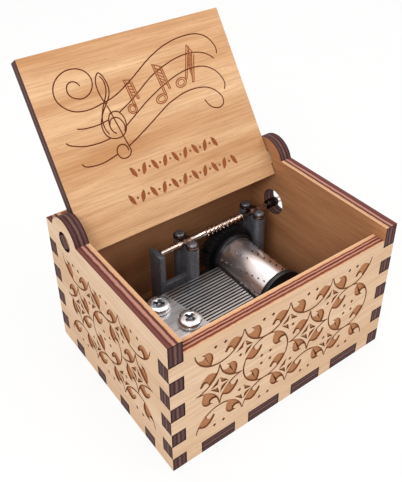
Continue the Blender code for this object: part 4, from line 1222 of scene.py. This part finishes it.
@dataclass
class CombMovement:
    """The cast frame, the comb and its screws, and the straps over the shaft."""

    recess_width: float = 0.95 * MM
    recess_length: float = 3.7 * MM
    recess_depth: float = 1.1 * MM
    recess_tip: Point = (0.5, 0.75)
    teeth_reach: float = 18.5 * MM
    flank_turn: float = 0.7

    def dress(self, node: str, body: str, slot: str, material: bpy.types.Material,
              bevel_mm: float = 0.0) -> bpy.types.Object:
        """Give a node a smooth, softened copy in its real finish.

        Args:
            node: the node.
            body: the body that carries it.
            slot: the record's material slot; not used.
            material: the finish.
            bevel_mm: the width of its softened edges, or none.

        Returns:
            The piece.
        """
        piece = node_copy(node, node + "_finished")
        piece.data.materials.append(material)
        if bevel_mm:
            soften(piece, bevel_mm)
        smooth(piece)
        finish_piece(piece, body)
        return piece

    def cross_recess(self, node: str, turn_deg: float, nickel: bpy.types.Material,
                     recess: bpy.types.Material) -> None:
        """Cut a cross recess into a comb screw's head.

        Args:
            node: the screw's node.
            turn_deg: how far the cross is turned.
            nickel: the screw's finish.
            recess: the colour inside the recess, darker as painted shade.
        """
        low, high = (Vector(corner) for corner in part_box(node))
        piece = node_copy(node, node + "_finished")
        piece.data.materials.append(nickel)
        top = Vector(((low.x + high.x) / 2, (low.y + high.y) / 2, high.z))
        for quarter in (0, 90):
            deselect()
            bpy.ops.mesh.primitive_cube_add(size=1.0, location=(0, 0, 0))
            blade = bpy.context.view_layer.objects.active
            blade.scale = (self.recess_length, self.recess_width, 2 * self.recess_depth)
            bpy.ops.object.transform_apply(location=True, rotation=True, scale=True)
            for vertex in blade.data.vertices:
                if vertex.co.z < 0:
                    vertex.co.x *= self.recess_tip[0]
                    vertex.co.y *= self.recess_tip[1]
            blade.data.materials.append(recess)
            blade.matrix_world = (Matrix.Translation(top) @ Matrix.Rotation(
                math.radians(turn_deg + quarter), 4, "Z"))
            modifier = piece.modifiers.new("Recess", "BOOLEAN")
            modifier.operation = "DIFFERENCE"
            modifier.solver = "EXACT"
            modifier.material_mode = "TRANSFER"
            modifier.object = blade
            apply_modifiers(piece)
            bpy.data.objects.remove(blade, do_unlink=True)
        soften(piece, 0.07, segments=2, angle_deg=50)
        smooth(piece, 40)
        finish_piece(piece, "case")

    def build(self) -> None:
        """Dress every fixed piece of the movement."""
        # Dark die-cast zinc: grey, slightly rough, with broad soft highlights.
        zinc = Metal("die_cast_zinc_dark", "6C6E75", "56585E", 0.5, 0.1, 0.6, 0.03,
                     metallic=0.55).build()
        # Ground steel: a mid grey with streaks along the grinding.
        ground = Metal("ground_comb_steel", "8A8487", "726C70", 0.36, 0.08, 0.25, 0.01,
                       brushed=(0.1, 1.0, 1.0)).build()
        # Tooth flanks painted nearly black: painted shade in the gaps between teeth, so that
        # they read as dark lines.
        flank = Metal("tooth_flank_painted_shade", "161415", "0E0D0E", 0.6, 0.08, 0.4, 0.01,
                      metallic=0.2).build()
        # Polished tooth tops: bright, softly streaked.
        bright = Metal("polished_tooth_steel", "D4D0D0", "BAB6B6", 0.32, 0.06, 0.4, 0.006,
                       brushed=(0.1, 1.0, 1.0)).build()
        # Polished nickel plate: white highlights and sharp reflections.
        nickel = Metal("polished_nickel_screw", "F4F4F6", "E8E8EA", 0.27, 0.04, 1.2,
                       0.003).build()
        # Recess painted duller and greyer than the plate: painted shade inside the cross.
        recess = Metal("shadowed_screw_recess", "94969A", "76787C", 0.34, 0.06, 0.5,
                       0.005).build()
        # Oiled bronze strip: dark reddish brown with a glint.
        bronze = Metal("oiled_bronze_strip", "7A5C50", "4E3A34", 0.28, 0.08, 0.5, 0.01).build()
        # Tumbled steel: dull grey with rounded highlights.
        blued = Metal("tumbled_stud_steel", "7C7A7E", "626064", 0.4, 0.08, 0.5, 0.01,
                      metallic=0.6).build()
        self.dress("movement_frame", "case", "zinc_casting", zinc, 0.22)
        comb = self.dress("comb", "case", "comb_steel", ground)
        finishes = [ground, bright, flank]
        for finish in finishes[1:]:
            comb.data.materials.append(finish)
        teeth_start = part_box("comb")[1][0] - self.teeth_reach
        for polygon in comb.data.polygons:
            if polygon.center.x > teeth_start:
                # Side faces of the teeth take the near-black colour as painted shade in the
                # gaps.
                is_flank = abs(polygon.normal.y) > self.flank_turn
                polygon.material_index = finishes.index(flank if is_flank else bright)
        self.cross_recess("comb_screw_front", 20.0, nickel, recess)
        self.cross_recess("comb_screw_rear", 48.0, nickel, recess)
        for side in ("left", "right"):
            self.dress(f"shaft_strap_{side}", "case", "strap_bronze", bronze, 0.08)
            for end in ("front", "rear"):
                self.dress(f"stud_{side}_{end}", "case", "dark_steel", blued)
        for index in (1, 2, 3):
            self.dress(f"floor_screw_{index}", "case", "nickel", nickel)


@dataclass
class PinnedCylinder:
    """The drum with its pins, its caps, the gear and their arbor."""

    body: str = "cylinder"
    radius: float = 5.65 * MM
    wall: float = 0.6 * MM
    skin: float = 0.03 * MM
    sides: int = 128
    edge_mm: float = 0.08

    def drum(self, metal: bpy.types.Material, pin_steel: bpy.types.Material) -> None:
        """Make the drum's round sleeve and set its pins on it.

        Args:
            metal: the sleeve's finish.
            pin_steel: the pins' colour, darkened as painted shade.
        """
        axis = Vector(JOINTS["cylinder_turn"]["pos_m"])
        low, high = (Vector(corner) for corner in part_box("cylinder_drum"))
        deselect()
        bpy.ops.mesh.primitive_cylinder_add(
            vertices=self.sides, radius=self.radius, depth=high.y - low.y,
            end_fill_type="NOTHING", location=(axis.x, (low.y + high.y) / 2, axis.z),
            rotation=(math.pi / 2, 0, 0))
        sleeve = bpy.context.view_layer.objects.active
        sleeve.name = "drum_sleeve"
        bpy.ops.object.transform_apply(location=True, rotation=True, scale=True)
        solidify = sleeve.modifiers.new("Wall", "SOLIDIFY")
        solidify.thickness = self.wall
        solidify.offset = -1.0
        apply_modifiers(sleeve)
        soften(sleeve, self.edge_mm)
        smooth(sleeve)
        sleeve.data.materials.append(metal)
        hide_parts("cylinder_drum")
        finish_piece(sleeve, self.body)
        pins = node_copy("cylinder_drum", "drum_pins")
        skin = {vertex.index for vertex in pins.data.vertices
                if math.hypot(vertex.co.x - axis.x, vertex.co.z - axis.z)
                < self.radius + self.skin}
        select_faces(pins, lambda polygon: skin.issuperset(polygon.vertices))
        bpy.ops.mesh.delete(type="FACE")
        bpy.ops.mesh.select_all(action="SELECT")
        bpy.ops.mesh.delete_loose()
        bpy.ops.mesh.select_all(action="SELECT")
        bpy.ops.mesh.fill_holes(sides=0)
        bpy.ops.mesh.normals_make_consistent(inside=False)
        bpy.ops.object.mode_set(mode="OBJECT")
        smooth(pins)
        pins.data.materials.append(pin_steel)
        finish_piece(pins, self.body)

    def build(self, dress: Callable[..., bpy.types.Object]) -> None:
        """Dress the turning pieces.

        Args:
            dress: makes a softened copy of a node in its real finish.
        """
        # Satin nickel: a broad soft highlight on a faintly pink grey.
        drum = Metal("satin_nickel_drum", "F0E8E8", "E4D8D6", 0.3, 0.03, 0.9, 0.0,
                     brushed=(1.0, 0.15, 1.0)).build()
        # Steel pins painted dark grey: painted shade, so that they read as dark dots against
        # the drum.
        pin_steel = Metal("pin_steel_painted_shade", "6A6260", "4A4442", 0.3, 0.05, 0.5, 0.0).build()
        # Black acetal: a dark, even gloss on the caps and the gear.
        black = MouldedPlastic("black_acetal_cap").build()
        # Turned steel: bright and slightly streaked.
        steel = Metal("bright_arbor_steel", "B8B6B8", "9C9A9C", 0.25, 0.06, 0.5, 0.006).build()
        self.drum(drum, pin_steel)
        dress("cylinder_front_cap", self.body, "black_plastic", black, 0.18)
        dress("cylinder_rear_cap", self.body, "black_plastic", black, 0.15)
        dress("cylinder_gear", self.body, "black_plastic", black)
        dress("cylinder_arbor", self.body, "comb_steel", steel)


@dataclass
class HandCrank:
    """The worm shaft, its shoulder, the bent rod, the knob and its washer."""

    body: str = "crank"

    def build(self, dress: Callable[..., bpy.types.Object]) -> None:
        """Dress the crank's pieces.

        Args:
            dress: makes a softened copy of a node in its real finish.
        """
        # Nickel plate tinted brown as painted reflection of the surrounding wood: bright, with
        # brownish reflections.
        shaft = Metal("nickel_painted_wood_reflection", "DCCBC0", "BFA99C", 0.2, 0.05, 0.5, 0.006).build()
        # Blackened steel: dark, with a thin glint along its top.
        blued = Metal("blackened_shoulder_steel", "46383A", "332A2C", 0.36, 0.08, 0.5,
                      0.01).build()
        # Turned black plastic: dark, with a soft gloss.
        knob = MouldedPlastic("black_knob_plastic").build()
        dress("worm_shaft", self.body, "nickel", shaft)
        dress("crank_shoulder", self.body, "dark_steel", blued, 0.12)
        dress("crank_arm", self.body, "nickel", shaft)
        dress("knob_washer", self.body, "nickel", shaft, 0.06)
        dress("crank_knob", "knob", "black_plastic", knob, 0.15)


@dataclass
class Studio:
    """White floor, soft light and the camera at the photograph's viewing angle."""

    place_mm: tuple[float, float, float] = (-77.571, -99.995, 133.396)
    yaw_deg: float = -36.464
    pitch_deg: float = 34.066
    roll_deg: float = -0.251
    focal_px: float = 678.923
    centre_px: tuple[float, float] = (207.496, 185.359)
    image_px: tuple[int, int] = (402, 482)
    floor_size: float = 6.0
    floor_drop: float = 0.05 * MM
    lamps: tuple[tuple[str, tuple[float, float, float], float, float], ...] = (
        ("key_softbox", (-0.48, -0.33, 0.52), 0.35, 2.95),
        ("fill_softbox", (0.45, -0.4, 0.35), 0.4, 1.3),
        ("top_softbox", (0.05, 0.1, 0.7), 0.4, 1.5))
    floor_glow: float = 0.86
    surround: float = 0.5

    def camera(self) -> None:
        """Set the camera."""
        data = bpy.data.cameras.new("photo_camera")
        camera = bpy.data.objects.new("photo_camera", data)
        bpy.context.scene.collection.objects.link(camera)
        yaw, pitch = math.radians(self.yaw_deg), math.radians(self.pitch_deg)
        back = Vector((math.sin(yaw) * math.cos(pitch), -math.cos(yaw) * math.cos(pitch),
                       math.sin(pitch)))
        right = Vector((0, 0, 1)).cross(back).normalized()
        up = back.cross(right)
        roll = math.radians(self.roll_deg)
        rolled_right = right * math.cos(roll) + up * math.sin(roll)
        rolled_up = up * math.cos(roll) - right * math.sin(roll)
        turn = Matrix((rolled_right, rolled_up, back)).transposed().to_4x4()
        camera.matrix_world = Matrix.Translation(Vector(self.place_mm) * MM) @ turn
        wide, high = self.image_px
        larger = max(wide, high)
        data.sensor_width = 36.0
        data.lens = self.focal_px * data.sensor_width / larger
        data.shift_x = (wide / 2 - self.centre_px[0]) / larger
        data.shift_y = (self.centre_px[1] - high / 2) / larger
        data.clip_start = 1 * MM
        data.clip_end = 10.0
        bpy.context.scene.camera = camera

    def seen_by_eye(self, tree: bpy.types.NodeTree) -> bpy.types.NodeSocket:
        """Share of a ray that shows the background: seen directly, mirrored or through glass.

        Args:
            tree: the tree that takes the nodes.

        Returns:
            The socket with 1 for such a ray and 0 for light that falls on the object.
        """
        rays = add(tree, "LightPath")
        direct = add(tree, "Math", {"operation": "MAXIMUM"},
                     {0: rays.outputs["Is Camera Ray"], 1: rays.outputs["Is Glossy Ray"]})
        return add(tree, "Math", {"operation": "MAXIMUM"},
                   {0: direct.outputs[0], 1: rays.outputs["Is Transmission Ray"]}).outputs[0]

    def stage(self) -> None:
        """Lay the floor and light the scene."""
        deselect()
        bpy.ops.mesh.primitive_plane_add(size=self.floor_size,
                                         location=(0, 0, -self.floor_drop))
        floor = bpy.context.view_layer.objects.active
        floor.name = "studio_floor"
        # White paper: matt, and white to the eye while it still takes the shadow.
        material, tree, shader = new_material("white_paper_floor")
        shader.inputs["Base Color"].default_value = linear("F4F3F1")
        shader.inputs["Roughness"].default_value = 0.9
        share = add(tree, "Math", {"operation": "MULTIPLY", 1: self.floor_glow},
                    {0: self.seen_by_eye(tree)})
        glow = add(tree, "Emission", {"Color": (1, 1, 1, 1), "Strength": 1.0})
        mix = add(tree, "MixShader", {}, {0: share.outputs[0], 1: shader.outputs["BSDF"],
                                          2: glow.outputs["Emission"]})
        tree.links.new(mix.outputs["Shader"], tree.nodes["Material Output"].inputs["Surface"])
        floor.data.materials.append(material)
        world = bpy.data.worlds.new("soft_white_surround")
        bpy.context.scene.world = world
        world.use_nodes = True
        tree = world.node_tree
        tree.nodes.clear()
        light = add(tree, "Background", {"Color": (1, 1, 1, 1), "Strength": self.surround})
        white = add(tree, "Background", {"Color": (1, 1, 1, 1), "Strength": 1.0})
        mix = add(tree, "MixShader", {}, {0: self.seen_by_eye(tree),
                                          1: light.outputs["Background"],
                                          2: white.outputs["Background"]})
        add(tree, "OutputWorld", {}, {"Surface": mix.outputs["Shader"]})

    def lamp(self, name: str, place: Vector, size: float, watts: float) -> None:
        """Add a soft square lamp that looks at the box.

        Args:
            name: the lamp's name.
            place: where it hangs.
            size: its side.
            watts: its power.
        """
        data = bpy.data.lights.new(name, "AREA")
        data.size = size
        data.energy = watts
        lamp = bpy.data.objects.new(name, data)
        bpy.context.scene.collection.objects.link(lamp)
        aim = Vector((0, 0, 0.02)) - place
        lamp.matrix_world = Matrix.Translation(place) @ aim.to_track_quat("-Z", "Y").to_matrix(
        ).to_4x4()

    def build(self) -> None:
        """Set up camera, stage, lamps and colour management."""
        self.camera()
        self.stage()
        for name, place, size, watts in self.lamps:
            self.lamp(name, Vector(place), size, watts)
        bpy.context.scene.view_settings.view_transform = "Standard"


def main() -> None:
    """Build every sub-assembly in order."""
    logging.basicConfig(level=logging.INFO)
    deselect()
    Studio().build()
    PlywoodCase().build()
    EngravedLid().build()
    movement = CombMovement()
    movement.build()
    PinnedCylinder().build(movement.dress)
    HandCrank().build(movement.dress)


if __name__ == "__main__":
    main()
